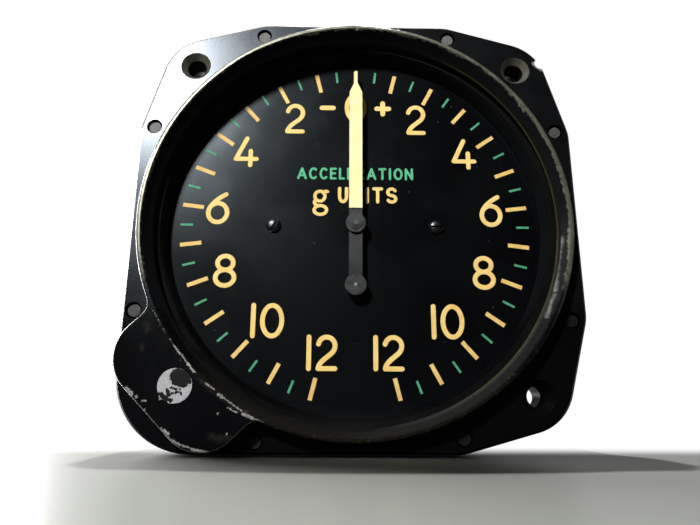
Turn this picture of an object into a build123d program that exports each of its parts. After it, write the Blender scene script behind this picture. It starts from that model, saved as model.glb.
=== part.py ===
"""A panel-mounted g-meter: an aircraft accelerometer with a dial from -12 g to +12 g.

Millimetres. The origin is on the instrument's axis, at the flat front face of the flange that
seats against the panel. +X is to the right of someone who reads the dial, +Z is up and +Y runs
back into the case, so a depth behind the panel face is a Y value.
"""

import math
import os

from build123d import *

# Front casting: square flange, round bezel ring and knob lug
bolt_circle_radius = 44.45      # standard 3.5 inch circle of the corner holes
ring_margin = 5.35              # from the ring's side in to that circle
flange_margin = 1.9             # the flange's sides stand this far outside the ring
flange_thickness = 5.0
flange_shoulder_length = 18.0   # half length of the straight part of each side
corner_cut_depth = 5.0          # the slanted sides meet this far inside the square outline
cut_corner_radius = 9.0
shoulder_radius = 8.0
full_corner_radius = 13.6       # the corner that carries the lug is not cut
flange_edge_chamfer = 0.4
ring_height = 3.0
ring_edge_radius = 0.5
ring_band_width = 0.8           # flat band on top of the ring
ring_lip_width = 1.9            # from the ring's side in to the glass
window_lap_width = 1.5          # the inner shoulder laps the rim of the glass this far
window_taper_width = 0.6
notch_width = 0.5
notch_depth = 0.35
chip_depth = 1.6                # a bite out of the front edge at the upper right corner
chip_outline = [(0.2, -1.6), (-0.7, -2.5), (-0.6, -3.1), (-0.3, -3.65), (0.2, -4.05),
                (0.85, -4.1), (1.9, -3.4)]

# Knob lug at the lower left, with its hole plugged
lug_lobe_radius = 7.15
lug_lobe_half_spacing = 5.94
lug_lobe_gap = 2.34             # the lobes' centre line runs this far outside the ring
lug_neck_radius = 2.4
plug_radius = 2.88
plug_offset = 0.86              # its centre is this far outside the lobes' centre line
plug_length = 4.0
plug_recess_depth = 0.05

# Mounting holes, one in each corner but the lug's
mount_hole_radius = 1.85
mount_sink_radius = 2.9
mount_sink_angle = 82.0

# Screws that hold the case to the casting from behind
case_screw_inset = (2.64, 22.7)     # from the two sides of the flange's square outline
lug_screw_inset = (2.03, 24.05)     # the two beside the lug stand further apart
case_screw_radius = 1.12
case_screw_hole_radius = 1.45
case_screw_head_radius = 2.1
case_screw_head_height = 1.5
case_screw_recess_depth = 0.5   # the screw ends stop this far below the flange's face
slot_width = 0.55
slot_depth = 0.6
fine_slot_width = 0.4           # in the dial's small screws
fine_slot_depth = 0.4
slot_turn = 37.0                # degrees from one screw's slot to the next
screw_tip_gap = 0.5             # between a screw's end and the bottom of its hole

# Glass and what holds it
glass_thickness = 1.3
glass_clearance = 0.05
glass_sink_depth = 2.6          # the glass lies this far below the top of the ring
glass_chamfer = 0.15
retaining_width = 1.1
retaining_groove_depth = 0.65   # the ring's groove is cut this deep into the casting
retaining_thickness = 0.8
gasket_thickness = 0.4
gasket_width = 1.3

# Dial
dial_depth = 4.0
dial_gap = 0.3                  # between the dial and the back of the glass shoulder
dial_thickness = 0.8
dial_clearance = 0.5
dial_hole_radius = 1.6
g_limit = 12
degrees_per_g = 13.83
paint_thickness = 0.06
graduation_margin = 2.53        # from the window's edge to the graduations
major_length = 4.0
major_width = 0.76
minor_length = 2.4
minor_width = 0.42
dial_screw_offset = 15.5
dial_screw_radius = 0.9
dial_screw_head_radius = 1.4
dial_screw_head_height = 0.65
dial_screw_chamfer = 0.3
dial_screw_length = 3.0
dial_post_radius = 2.2
left_slot_angle = 60.0
right_slot_angle = 0.0

# Pointer
pointer_depth = 2.0
pointer_thickness = 0.4
pointer_width = 2.5
pointer_tip_gap = 1.22          # from its tip to the graduations' outer circle
tip_length = 2.45
tip_width = 0.55
taper_length = 2.2              # between the full width and the narrow tip
lume_start_radius = 3.05
lume_thickness = 0.15
tail_length = 11.67
counterweight_radius = 1.96
counterweight_front_height = 0.25
counterweight_back_height = 0.9
rivet_radius = 0.5
hub_radius = 1.85
hub_height = 0.5                # the hub stands this far in front of the pointer
hub_cap_radius = 1.2
hub_cap_height = 0.15

# Case behind the flange
case_gasket_thickness = 0.5     # it lies in a recess of the case's flange
case_gasket_width = 2.0
case_flange_thickness = 4.5
case_inset = 0.2                # the can is this much smaller than the ring, all round
case_wall_thickness = 1.6
case_floor_thickness = 2.0
case_edge_chamfer = 2.5
boss_radius = 4.0
boss_margin = 7.0               # from the movement plates' edge to the bosses' centres
boss_length = 8.5
boss_start_angle = 90.0
movement_screw_radius = 1.2
movement_screw_head_radius = 2.3
movement_screw_head_height = 1.6
movement_screw_sink_depth = 1.0     # of the pocket for its head
movement_screw_clearance = 0.15
movement_screw_pocket_clearance = 0.2
boss_count = 3

# Movement frame
front_plate_depth = 8.0
plate_thickness = 2.0
plate_clearance = 2.3           # between the plates and the case
back_plate_gap = 4.0            # between the mass on its lever and the back plate
pillar_radius = 2.5
pillar_tenon_radius = 1.4       # each pillar's front end is riveted in the front plate
pillar_margin = 3.6             # from the plates' edge to the pillars' centres
pillar_angles = (20.0, 150.0, 270.0)
plate_screw_radius = 1.1
plate_screw_head_radius = 2.1
plate_screw_head_height = 1.2
plate_screw_length = 6.0
window_cut_radius = 8.0         # lightening holes in the front plate
window_cut_circle_radius = 20.0
window_cut_angles = (45.0, 110.0, 225.0)

# Gear pair: the sector drives the pinion on the pointer's staff
gear_module = 0.25
pinion_teeth = 14
sector_circle_teeth = 154       # teeth on a whole wheel of the sector's radius
sector_teeth = 19
pressure_angle = 20.0
mesh_angle = -45.0              # the lever's arbor, seen from the pointer's staff
flank_steps = (0.0, 0.5, 1.0)
pinion_addendum = 0.95
sector_addendum = 0.8
dedendum = 1.15
backlash = 0.06
pinion_depth = 11.8
pinion_length = 2.8
sector_depth = 12.6
sector_thickness = 1.2
sector_rim_width = 2.2
sector_hub_radius = 4.0
sector_spoke_width = 2.4
spoke_spread = 0.8              # outer spokes' angle as a share of the rim's half angle

# Pointer staff, its bridge and its hairspring
staff_radius = 0.75
running_clearance = 0.03
staff_rear_pivot_radius = 0.5
staff_nose_length = 0.1         # its front end stands proud of the hub's cap
staff_end_gap = 0.3
staff_rear_length = 0.2         # its rear pivot comes this far out of the bridge
bearing_radius = 2.0
bridge_depth = 18.0
bridge_thickness = 1.6
bridge_half_length = 9.5
bridge_foot_radius = 2.2
bridge_width = 4.4
bridge_screw_radius = 0.8
bridge_screw_head_radius = 1.5
bridge_screw_head_height = 0.8
collet_radius = 1.5
collet_depth = 15.2
collet_length = 1.8
hairspring_depth = 15.6
hairspring_height = 0.8
hairspring_strip_width = 0.16
hairspring_pitch = 0.9
hairspring_half_turns = 6
hairspring_seat_gap = 0.02      # between the collet and the spring's inner turn
stud_overhang_length = 0.3      # the stud reaches this far in front of the spring
stud_radius = 0.6

# Mass lever
lever_arm_angle = 180.0         # at rest the arm points left, level with its arbor
lever_swing = 15.0
arbor_radius = 1.6
arbor_pivot_radius = 0.7
arbor_shoulder_gap = 0.3        # end play of each arbor between its plates
arbor_flange_radius = 3.4
arbor_flange_thickness = 1.0
lever_depth = 26.0
lever_thickness = 2.0
lever_half_width = 2.5
lever_hub_radius = 4.2
mass_offset = 28.0              # from the arbor to its centre
mass_width = 13.0
mass_height = 12.0
mass_thickness = 14.0
mass_edge_radius = 1.5
mass_screw_spacing = 7.0
mass_screw_radius = 0.9
mass_screw_head_radius = 1.7
mass_screw_head_height = 1.0
mass_screw_length = 6.0
stop_offset = 17.0
stop_radius = 1.2
stop_depth = 25.0
stop_gap = 0.25

# Control springs
spring_arm_length = 9.85        # from the arbor to the pin that the springs pull on
spring_post_margin = 3.15       # from the lower post's level to the plates' edge
spring_wire_width = 0.6
wire_sides = 4                  # the wire's section, kept plain inside the closed case
spring_radius = 2.0
spring_coils = 5
spring_stem_length = 1.2        # straight wire between each eye and the coils
spring_pin_radius = 0.8
spring_pin_head_radius = 1.5
spring_pin_head_height = 0.5
spring_post_radius = 1.2
spring_post_seat_radius = 0.8
spring_lever_gap = 0.9          # between the lever and the upper spring's coils
spring_spacing = 3.0            # from the upper spring back to the lower one
eye_clearance = 0.05

# Sizes that follow from the ones above
ring_radius = bolt_circle_radius - ring_margin
flange_half_width = ring_radius + flange_margin
flange_apex = flange_half_width - corner_cut_depth
half_mount = bolt_circle_radius * math.sqrt(0.5)
mount_points = [(half_mount, half_mount), (-half_mount, half_mount), (half_mount, -half_mount)]
lug_angle = 225.0               # the diagonal that carries the lug
lug_lobe_offset = ring_radius + lug_lobe_gap
plug_centre_radius = lug_lobe_offset + plug_offset
ring_front = -ring_height
cone_front_radius = ring_radius - ring_band_width
glass_radius = ring_radius - ring_lip_width
bore_radius = glass_radius + glass_clearance
window_radius = glass_radius - window_lap_width
window_rear_radius = window_radius - window_taper_width
glass_front = ring_front + glass_sink_depth
glass_back = glass_front + glass_thickness
shoulder_front = glass_back + gasket_thickness
retaining_front = glass_front - retaining_thickness
groove_radius = bore_radius + retaining_groove_depth
retaining_outer_radius = groove_radius - glass_clearance
retaining_inner_radius = groove_radius - retaining_width
dial_back = dial_depth + dial_thickness
case_front = flange_thickness
case_flange_back = case_front + case_flange_thickness
case_radius = ring_radius - case_inset
case_bore_radius = case_radius - case_wall_thickness
case_gasket_radius = case_bore_radius + case_gasket_width
dial_radius = case_bore_radius - dial_clearance
major_outer_radius = window_radius - graduation_margin
pointer_tip_radius = major_outer_radius - pointer_tip_gap
pointer_neck_radius = pointer_tip_radius - tip_length
pointer_shoulder_radius = pointer_neck_radius - taper_length
plate_radius = case_bore_radius - plate_clearance
pillar_circle_radius = plate_radius - pillar_margin
boss_circle_radius = plate_radius - boss_margin
front_plate_back = front_plate_depth + plate_thickness
lever_back = lever_depth + lever_thickness
back_plate_depth = lever_back + mass_thickness + back_plate_gap
back_plate_back = back_plate_depth + plate_thickness
floor_front = back_plate_back + boss_length
case_back = floor_front + case_floor_thickness
pinion_pitch_radius = gear_module * pinion_teeth / 2
sector_pitch_radius = gear_module * sector_circle_teeth / 2
arbor_distance = pinion_pitch_radius + sector_pitch_radius
mesh_turn = math.radians(mesh_angle)
arbor_x = arbor_distance * math.cos(mesh_turn)
arbor_z = arbor_distance * math.sin(mesh_turn)
spring_x = arbor_x - spring_arm_length
spring_span = plate_radius + arbor_z - spring_post_margin
upper_spring_depth = lever_back + spring_lever_gap + spring_radius + spring_wire_width / 2
lower_spring_depth = upper_spring_depth + spring_spacing
overrun = 1.0                   # cuts start and end this far outside the material
near = 0.1                      # tolerance when corners are picked by their place

os.makedirs("parts", exist_ok=True)


def at_depth(depth):
    """Sketch plane at a depth behind the panel face: X to the right, Z up."""
    return Plane.XZ.offset(-depth)


def polar_point(radius, angle):
    """Point on a circle about the instrument's axis, in degrees from +X towards +Z."""
    return (radius * math.cos(math.radians(angle)), radius * math.sin(math.radians(angle)))


def add_disc(x, z, radius, front, back, mode=Mode.ADD):
    """Add or cut a round length between two depths, in the part that is being built."""
    with BuildSketch(at_depth(front)) as disc:
        with Locations((x, z)):
            Circle(radius)
    extrude(disc.sketch, amount=-(back - front), mode=mode)


def cut_slot(x, z, radius, front, back, width, angle):
    """Cut a screwdriver slot between two depths, right across a screw's head."""
    with BuildSketch(at_depth(front)) as slot:
        with Locations((x, z)):
            Rectangle(2 * radius + overrun, width, rotation=angle)
    extrude(slot.sketch, amount=-(back - front), mode=Mode.SUBTRACT)


def save(piece, name):
    """Label a finished piece and write it as a STEP file."""
    piece.part.label = name
    export_step(piece.part, f"parts/{name}.step")


def flange_sketch(depth):
    """Outline shared by the casting's flange, the case gasket and the case's flange."""
    half, straight, apex = flange_half_width, flange_shoulder_length, flange_apex
    outline = [
        (-straight, half), (straight, half), (apex, apex), (half, straight),
        (half, -straight), (apex, -apex), (straight, -half), (-half, -half),
        (-half, straight), (-apex, apex),
    ]
    with BuildSketch(at_depth(depth)) as sketch:
        with BuildLine():
            Polyline(*outline, close=True)
        make_face()
        for point, radius in ((apex, cut_corner_radius), (half, shoulder_radius)):
            corners = [v for v in sketch.vertices() if abs(max(abs(v.X), abs(v.Y)) - point) < near
                       and v.X + v.Y > -2 * half + near]
            fillet(corners, radius)
        fillet(sketch.vertices().sort_by(Axis((0, 0, 0), (1, 1, 0)))[0], full_corner_radius)
    return sketch.sketch


def case_screw_points():
    """Centres of the eight screws: a pair about each corner, wider apart at the lug."""
    points = []
    for side_x, side_z in ((1, 1), (-1, 1), (-1, -1), (1, -1)):
        by_lug = side_x < 0 and side_z < 0
        edge_inset, corner_inset = lug_screw_inset if by_lug else case_screw_inset
        by_edge = flange_half_width - edge_inset
        by_corner = flange_half_width - corner_inset
        points.append((side_x * by_edge, side_z * by_corner))
        points.append((side_x * by_corner, side_z * by_edge))
    return points


# Front casting

def raised_sketch():
    """Ring and lug in one outline, with the concave necks between them rounded."""
    lug_plane = Plane(origin=(0, ring_front, 0), x_dir=(1, 0, -1), z_dir=(0, -1, 0))
    root_length = lug_lobe_offset - ring_radius / 2
    lobe_reach = lug_lobe_half_spacing + lug_lobe_radius
    with BuildSketch(lug_plane) as sketch:
        Circle(ring_radius)
        with Locations((0, -lug_lobe_offset + root_length / 2)):
            Rectangle(2 * lobe_reach, root_length)
        with Locations((0, -lug_lobe_offset)):
            SlotCenterToCenter(2 * lug_lobe_half_spacing, 2 * lug_lobe_radius)
        necks = [v for v in sketch.vertices() if abs(v.X) > lobe_reach - near
                 and abs(math.hypot(v.X, v.Y) - ring_radius) < near]
        fillet(necks, lug_neck_radius)
    return sketch.sketch


with BuildPart() as front_casting:
    extrude(flange_sketch(0), amount=-flange_thickness)
    flange_face = front_casting.faces().sort_by(Axis.Y)[0]
    chamfer(flange_face.edges(), flange_edge_chamfer)
    extrude(raised_sketch(), amount=-ring_height)
    raised_face = front_casting.faces().sort_by(Axis.Y)[0]
    fillet(raised_face.edges(), ring_edge_radius)

    # Everything inside the ring is turned: the cone, the glass seat, the shoulder and the
    # counterbore that the dial sits in
    counterbore_front = dial_depth - dial_gap
    casting_behind = flange_thickness + overrun
    with BuildSketch(Plane.XY):
        with BuildLine():
            Polyline(
                (0, ring_front - overrun), (cone_front_radius + overrun, ring_front - overrun),
                (cone_front_radius, ring_front), (bore_radius, retaining_front),
                (groove_radius, retaining_front), (groove_radius, glass_front),
                (bore_radius, glass_front), (bore_radius, shoulder_front),
                (window_radius, shoulder_front), (window_rear_radius, counterbore_front),
                (case_bore_radius, counterbore_front), (case_bore_radius, casting_behind),
                (0, casting_behind), close=True,
            )
        make_face()
    revolve(axis=Axis.Y, mode=Mode.SUBTRACT)

    # Mounting holes, countersunk at the front
    with Locations(*[Location(Plane(origin=(x, 0, z), z_dir=(0, -1, 0))) for x, z in mount_points]):
        CounterSinkHole(mount_hole_radius, mount_sink_radius, counter_sink_angle=mount_sink_angle)

    # Tapped holes for the case screws, and the knob hole
    with BuildSketch(at_depth(0)):
        with Locations(*case_screw_points()):
            Circle(case_screw_hole_radius)
    extrude(amount=-casting_behind, mode=Mode.SUBTRACT)
    plug_point = polar_point(plug_centre_radius, lug_angle)
    add_disc(*plug_point, plug_radius, ring_front - overrun, casting_behind, mode=Mode.SUBTRACT)

    # Index notch at the top of the ring
    with BuildSketch(at_depth(ring_front)):
        with Locations((0, ring_radius - ring_band_width / 2)):
            Rectangle(notch_width, 2 * ring_band_width)
    extrude(amount=-notch_depth, mode=Mode.SUBTRACT)

    # Chipped corner
    with BuildSketch(at_depth(0)):
        with BuildLine():
            Polyline(*[(flange_apex + x, flange_apex + z) for x, z in chip_outline], close=True)
        make_face()
    extrude(amount=-chip_depth, mode=Mode.SUBTRACT)

save(front_casting, "front_casting")

with BuildPart() as knob_hole_plug:
    add_disc(*plug_point, plug_radius, ring_front + plug_recess_depth, ring_front + plug_length)

save(knob_hole_plug, "knob_hole_plug")

# Glass, its gasket and its retaining ring

with BuildPart() as glass_retaining_ring:
    with BuildSketch(Plane.XY):
        with BuildLine():
            Polyline(
                (bore_radius, retaining_front), (retaining_outer_radius, retaining_front),
                (retaining_outer_radius, glass_front), (retaining_inner_radius, glass_front),
                close=True,
            )
        make_face()
    revolve(axis=Axis.Y)

save(glass_retaining_ring, "glass_retaining_ring")

with BuildPart() as cover_glass:
    add_disc(0, 0, glass_radius, glass_front, glass_back)
    chamfer(cover_glass.edges(), glass_chamfer)

save(cover_glass, "cover_glass")

with BuildPart() as glass_gasket:
    add_disc(0, 0, glass_radius, glass_back, shoulder_front)
    add_disc(0, 0, glass_radius - gasket_width, glass_back, shoulder_front, mode=Mode.SUBTRACT)

save(glass_gasket, "glass_gasket")

# Case, its gasket and its screws

with BuildPart() as case_gasket:
    gasket_back = case_front + case_gasket_thickness
    add_disc(0, 0, case_gasket_radius, case_front, gasket_back)
    add_disc(0, 0, case_bore_radius, case_front, gasket_back, mode=Mode.SUBTRACT)

save(case_gasket, "case_gasket")

boss_points = []
for boss in range(boss_count):
    boss_points.append(polar_point(boss_circle_radius, boss_start_angle + 360 * boss / boss_count))

with BuildPart() as case:
    extrude(flange_sketch(case_front), amount=-case_flange_thickness)
    add_disc(0, 0, case_radius, case_flange_back, case_back)
    chamfer(case.faces().sort_by(Axis.Y)[-1].edges(), case_edge_chamfer)
    add_disc(0, 0, case_gasket_radius, case_front, gasket_back, mode=Mode.SUBTRACT)
    add_disc(0, 0, case_bore_radius, case_front, floor_front, mode=Mode.SUBTRACT)
    with BuildSketch(at_depth(back_plate_back)):
        with Locations(*boss_points):
            Circle(boss_radius)
    extrude(amount=-boss_length)
    with BuildSketch(at_depth(case_front)):
        with Locations(*mount_points):
            Circle(mount_hole_radius)
        with Locations(*case_screw_points()):
            Circle(case_screw_hole_radius)
    extrude(amount=-case_flange_thickness, mode=Mode.SUBTRACT)
    with BuildSketch(at_depth(back_plate_back)):
        with Locations(*boss_points):
            Circle(movement_screw_radius + movement_screw_clearance)
    extrude(amount=-(case_back - back_plate_back), mode=Mode.SUBTRACT)
    with BuildSketch(at_depth(case_back - movement_screw_sink_depth)):
        with Locations(*boss_points):
            Circle(movement_screw_head_radius + movement_screw_pocket_clearance)
    extrude(amount=-movement_screw_sink_depth, mode=Mode.SUBTRACT)

save(case, "case")

with BuildPart() as case_screws:
    head_back = case_flange_back + case_screw_head_height
    for index, (x, z) in enumerate(case_screw_points()):
        add_disc(x, z, case_screw_radius, case_screw_recess_depth, case_flange_back)
        add_disc(x, z, case_screw_head_radius, case_flange_back, head_back)
        cut_slot(x, z, case_screw_head_radius, head_back - slot_depth, head_back, slot_width,
                 slot_turn * index)

save(case_screws, "case_screws")

with BuildPart() as movement_screws:
    head_front = case_back - movement_screw_sink_depth
    head_back = head_front + movement_screw_head_height
    for index, (x, z) in enumerate(boss_points):
        add_disc(x, z, movement_screw_radius, back_plate_depth, head_front)
        add_disc(x, z, movement_screw_head_radius, head_front, head_back)
        cut_slot(x, z, movement_screw_head_radius, head_back - slot_depth, head_back, slot_width,
                 slot_turn * index)

save(movement_screws, "movement_screws")

# Dial and its paint

with BuildPart() as dial:
    add_disc(0, 0, dial_radius, dial_depth, dial_back)
    add_disc(0, 0, dial_hole_radius, dial_depth, dial_back, mode=Mode.SUBTRACT)
    with BuildSketch(at_depth(dial_depth)):
        with Locations((dial_screw_offset, 0), (-dial_screw_offset, 0)):
            Circle(dial_screw_radius)
    extrude(amount=-dial_thickness, mode=Mode.SUBTRACT)

save(dial, "dial")


def graduations(angles, length, width):
    """Thin bars of paint that end on one circle, at angles clockwise from the top."""
    with BuildPart() as bars:
        for angle in angles:
            with BuildSketch(at_depth(dial_depth - paint_thickness)):
                with Locations(polar_point(major_outer_radius - length / 2, 90 - angle)):
                    Rectangle(length, width, rotation=90 - angle)
            extrude(amount=-paint_thickness)
    return bars


major_angles = [degrees_per_g * g for g in range(-g_limit, g_limit + 1)]
minor_angles = [degrees_per_g * (g + 0.5) for g in range(-g_limit, g_limit)]
major_graduations = graduations(major_angles, major_length, major_width)
minor_graduations = graduations(minor_angles, minor_length, minor_width)
save(major_graduations, "major_graduations")
save(minor_graduations, "minor_graduations")

with BuildPart() as dial_screws:
    head_front = dial_depth - dial_screw_head_height
    for x in (-dial_screw_offset, dial_screw_offset):
        add_disc(x, 0, dial_screw_head_radius, head_front, dial_depth)
        add_disc(x, 0, dial_screw_radius, dial_depth, dial_depth + dial_screw_length)
    rims = dial_screws.faces().group_by(Axis.Y)[0].edges()
    chamfer(rims, dial_screw_chamfer)
    for x, angle in ((-dial_screw_offset, left_slot_angle), (dial_screw_offset, right_slot_angle)):
        cut_slot(x, 0, dial_screw_head_radius, head_front, head_front + fine_slot_depth,
                 fine_slot_width, angle)

save(dial_screws, "dial_screws")

with BuildPart() as dial_posts:
    for x in (-dial_screw_offset, dial_screw_offset):
        add_disc(x, 0, dial_post_radius, dial_back, front_plate_depth)
        add_disc(x, 0, dial_screw_radius, dial_back, dial_depth + dial_screw_length,
                 mode=Mode.SUBTRACT)

save(dial_posts, "dial_posts")

# Pointer

def pointer_outline(start):
    """Straight bar from a radius to the shoulder, then a taper to the narrow tip."""
    half, tip = pointer_width / 2, tip_width / 2
    Polyline(
        (-half, start), (-half, pointer_shoulder_radius), (-tip, pointer_neck_radius),
        (-tip, pointer_tip_radius), (tip, pointer_tip_radius), (tip, pointer_neck_radius),
        (half, pointer_shoulder_radius), (half, start), close=True,
    )


with BuildPart() as pointer:
    with BuildSketch(at_depth(pointer_depth)):
        with BuildLine():
            pointer_outline(-tail_length)
        make_face()
        with Locations((0, -tail_length)):
            Circle(counterweight_radius)
        Circle(staff_radius, mode=Mode.SUBTRACT)
        with Locations((0, -tail_length)):
            Circle(rivet_radius, mode=Mode.SUBTRACT)
    extrude(amount=-pointer_thickness)

save(pointer, "pointer")

with BuildPart() as pointer_lume:
    with BuildSketch(at_depth(pointer_depth - lume_thickness)):
        with BuildLine():
            pointer_outline(lume_start_radius)
        make_face()
    extrude(amount=-lume_thickness)

save(pointer_lume, "pointer_lume")

with BuildPart() as pointer_counterweight:
    pointer_back = pointer_depth + pointer_thickness
    add_disc(0, -tail_length, counterweight_radius, pointer_depth - counterweight_front_height,
             pointer_depth)
    add_disc(0, -tail_length, rivet_radius, pointer_depth, pointer_back)
    add_disc(0, -tail_length, counterweight_radius, pointer_back,
             pointer_back + counterweight_back_height)

save(pointer_counterweight, "pointer_counterweight")

with BuildPart() as pointer_hub:
    hub_front = pointer_depth - hub_height
    add_disc(0, 0, hub_cap_radius, hub_front - hub_cap_height, hub_front)
    add_disc(0, 0, hub_radius, hub_front, pointer_depth)
    add_disc(0, 0, staff_radius, hub_front - hub_cap_height, pointer_depth, mode=Mode.SUBTRACT)

save(pointer_hub, "pointer_hub")

# Movement frame

pillar_points = [polar_point(pillar_circle_radius, angle) for angle in pillar_angles]
foot_points = [polar_point(bridge_half_length, 45), polar_point(bridge_half_length, 225)]

with BuildPart() as front_plate:
    add_disc(0, 0, plate_radius, front_plate_depth, front_plate_back)
    with BuildSketch(at_depth(front_plate_depth)):
        Circle(bearing_radius)
        with Locations((arbor_x, arbor_z)):
            Circle(bearing_radius)
        with Locations(*pillar_points):
            Circle(pillar_tenon_radius)
        with Locations(*foot_points):
            Circle(bridge_screw_radius)
        with Locations(*[polar_point(window_cut_circle_radius, angle) for angle in window_cut_angles]):
            Circle(window_cut_radius)
    extrude(amount=-plate_thickness, mode=Mode.SUBTRACT)

save(front_plate, "front_plate")

stop_angle = lever_swing + math.degrees(
    math.asin((lever_half_width + stop_radius + stop_gap) / stop_offset))
stop_points = []
for side in (1, -1):
    stop_turn = math.radians(lever_arm_angle - side * stop_angle)
    stop_points.append((arbor_x + stop_offset * math.cos(stop_turn),
                        arbor_z + stop_offset * math.sin(stop_turn)))
post_points = [(spring_x, arbor_z + spring_span), (spring_x, arbor_z - spring_span)]

with BuildPart() as back_plate:
    add_disc(0, 0, plate_radius, back_plate_depth, back_plate_back)
    with BuildSketch(at_depth(back_plate_depth)):
        with Locations((arbor_x, arbor_z)):
            Circle(bearing_radius)
        with Locations(*pillar_points):
            Circle(plate_screw_radius)
        with Locations(*boss_points):
            Circle(movement_screw_radius)
        with Locations(*stop_points):
            Circle(stop_radius)
        with Locations(*post_points):
            Circle(spring_post_seat_radius)
    extrude(amount=-plate_thickness, mode=Mode.SUBTRACT)

save(back_plate, "back_plate")

with BuildPart() as plate_pillars:
    for x, z in pillar_points:
        add_disc(x, z, pillar_tenon_radius, front_plate_depth, front_plate_back)
        add_disc(x, z, pillar_radius, front_plate_back, back_plate_depth)
        add_disc(x, z, plate_screw_radius, back_plate_depth - plate_screw_length, back_plate_depth,
                 mode=Mode.SUBTRACT)

save(plate_pillars, "plate_pillars")

with BuildPart() as back_plate_screws:
    head_back = back_plate_back + plate_screw_head_height
    for x, z in pillar_points:
        add_disc(x, z, plate_screw_radius, back_plate_depth - plate_screw_length + screw_tip_gap,
                 back_plate_back)
        add_disc(x, z, plate_screw_head_radius, back_plate_back, head_back)

save(back_plate_screws, "back_plate_screws")

with BuildPart() as travel_stops:
    for x, z in stop_points:
        add_disc(x, z, stop_radius, stop_depth, back_plate_back)

save(travel_stops, "travel_stops")


# Gear teeth

def involute_point(base_radius, radius, sign, half_base_angle):
    """Point where an involute flank crosses a radius, for a tooth centred on +X."""
    roll = math.sqrt(max((radius / base_radius) ** 2 - 1, 0))
    turn = roll - math.atan(roll)
    angle = sign * (half_base_angle - turn)
    return (radius * math.cos(angle), radius * math.sin(angle))


def tooth_outline(teeth, addendum):
    """Root, flank and tip points of one tooth centred on +X, from its lower to its upper root."""
    pitch = gear_module * teeth / 2
    base = pitch * math.cos(math.radians(pressure_angle))
    root = pitch - dedendum * gear_module
    tip = pitch + addendum * gear_module
    half_pitch_angle = math.pi / (2 * teeth) - backlash / (2 * pitch)
    roll = math.tan(math.radians(pressure_angle))
    half_base_angle = half_pitch_angle + roll - math.radians(pressure_angle)
    start = max(base, root)
    radii = [start + (tip - start) * step for step in flank_steps]
    lower = [involute_point(base, r, -1, half_base_angle) for r in radii]
    if root < base:
        lower.insert(0, (root * math.cos(half_base_angle), -root * math.sin(half_base_angle)))
    upper = [(x, -y) for x, y in reversed(lower)]
    return lower + upper


def turned_points(points, angle):
    """Turn points about the origin, in degrees."""
    c, s = math.cos(math.radians(angle)), math.sin(math.radians(angle))
    return [(x * c - y * s, x * s + y * c) for x, y in points]


# Pointer staff with its pinion, its bearings, bridge and hairspring

with BuildPart() as pinion_staff:
    staff_front = pointer_depth - hub_height - hub_cap_height - staff_nose_length
    staff_shoulder = bridge_depth - staff_end_gap
    bridge_back = bridge_depth + bridge_thickness
    add_disc(0, 0, staff_radius, staff_front, staff_shoulder)
    add_disc(0, 0, staff_rear_pivot_radius, staff_shoulder, bridge_back + staff_rear_length)
    pinion_points = []
    for tooth in range(pinion_teeth):
        angle = mesh_angle + (tooth + 0.5) * 360 / pinion_teeth
        pinion_points += turned_points(tooth_outline(pinion_teeth, pinion_addendum), angle)
    with BuildSketch(at_depth(pinion_depth)):
        with BuildLine():
            Polyline(*pinion_points, close=True)
        make_face()
    extrude(amount=-pinion_length)

save(pinion_staff, "pinion_staff")


def bearing(x, z, bore, front, back):
    """Turned bush pressed into a plate."""
    add_disc(x, z, bearing_radius, front, back)
    add_disc(x, z, bore, front, back, mode=Mode.SUBTRACT)


with BuildPart() as staff_bearings:
    bearing(0, 0, staff_radius + running_clearance, front_plate_depth, front_plate_back)
    bearing(0, 0, staff_rear_pivot_radius + running_clearance, bridge_depth, bridge_back)

save(staff_bearings, "staff_bearings")

with BuildPart() as staff_bridge:
    with BuildSketch(at_depth(bridge_depth)):
        SlotCenterToCenter(2 * bridge_half_length, bridge_width, rotation=45)
        Circle(bearing_radius, mode=Mode.SUBTRACT)
    extrude(amount=-bridge_thickness)
    for x, z in foot_points:
        add_disc(x, z, bridge_foot_radius, front_plate_back, bridge_depth)
        add_disc(x, z, bridge_screw_radius, front_plate_back, bridge_back, mode=Mode.SUBTRACT)

save(staff_bridge, "staff_bridge")

with BuildPart() as bridge_screws:
    head_back = bridge_back + bridge_screw_head_height
    for x, z in foot_points:
        add_disc(x, z, bridge_screw_radius, front_plate_depth + screw_tip_gap, bridge_back)
        add_disc(x, z, bridge_screw_head_radius, bridge_back, head_back)

save(bridge_screws, "bridge_screws")

with BuildPart() as hairspring_collet:
    add_disc(0, 0, collet_radius, collet_depth, collet_depth + collet_length)
    add_disc(0, 0, staff_radius, collet_depth, collet_depth + collet_length, mode=Mode.SUBTRACT)

save(hairspring_collet, "hairspring_collet")

with BuildPart() as hairspring:
    # Half circles about two centres by turns make an even spiral
    with BuildSketch(at_depth(hairspring_depth)):
        with BuildLine():
            start_radius = collet_radius + hairspring_strip_width / 2 + hairspring_seat_gap
            left, right = -start_radius, start_radius
            for half_turn in range(hairspring_half_turns):
                if half_turn % 2 == 0:
                    end = left + 2 * start_radius + hairspring_pitch / 2 * (half_turn + 1)
                    middle = ((left + end) / 2, (end - left) / 2)
                    ThreePointArc((left, 0), middle, (end, 0))
                    right = end
                else:
                    end = right - 2 * start_radius - hairspring_pitch / 2 * (half_turn + 1)
                    middle = ((right + end) / 2, -(right - end) / 2)
                    ThreePointArc((right, 0), middle, (end, 0))
                    left = end
        trace(line_width=hairspring_strip_width)
    extrude(amount=-hairspring_height)

save(hairspring, "hairspring")

with BuildPart() as hairspring_stud:
    stud_x = left - stud_radius - hairspring_strip_width / 2
    add_disc(stud_x, 0, stud_radius, hairspring_depth - stud_overhang_length, bridge_depth)

save(hairspring_stud, "hairspring_stud")


# Mass lever with its arbor, gear sector, mass and spring pin

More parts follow.
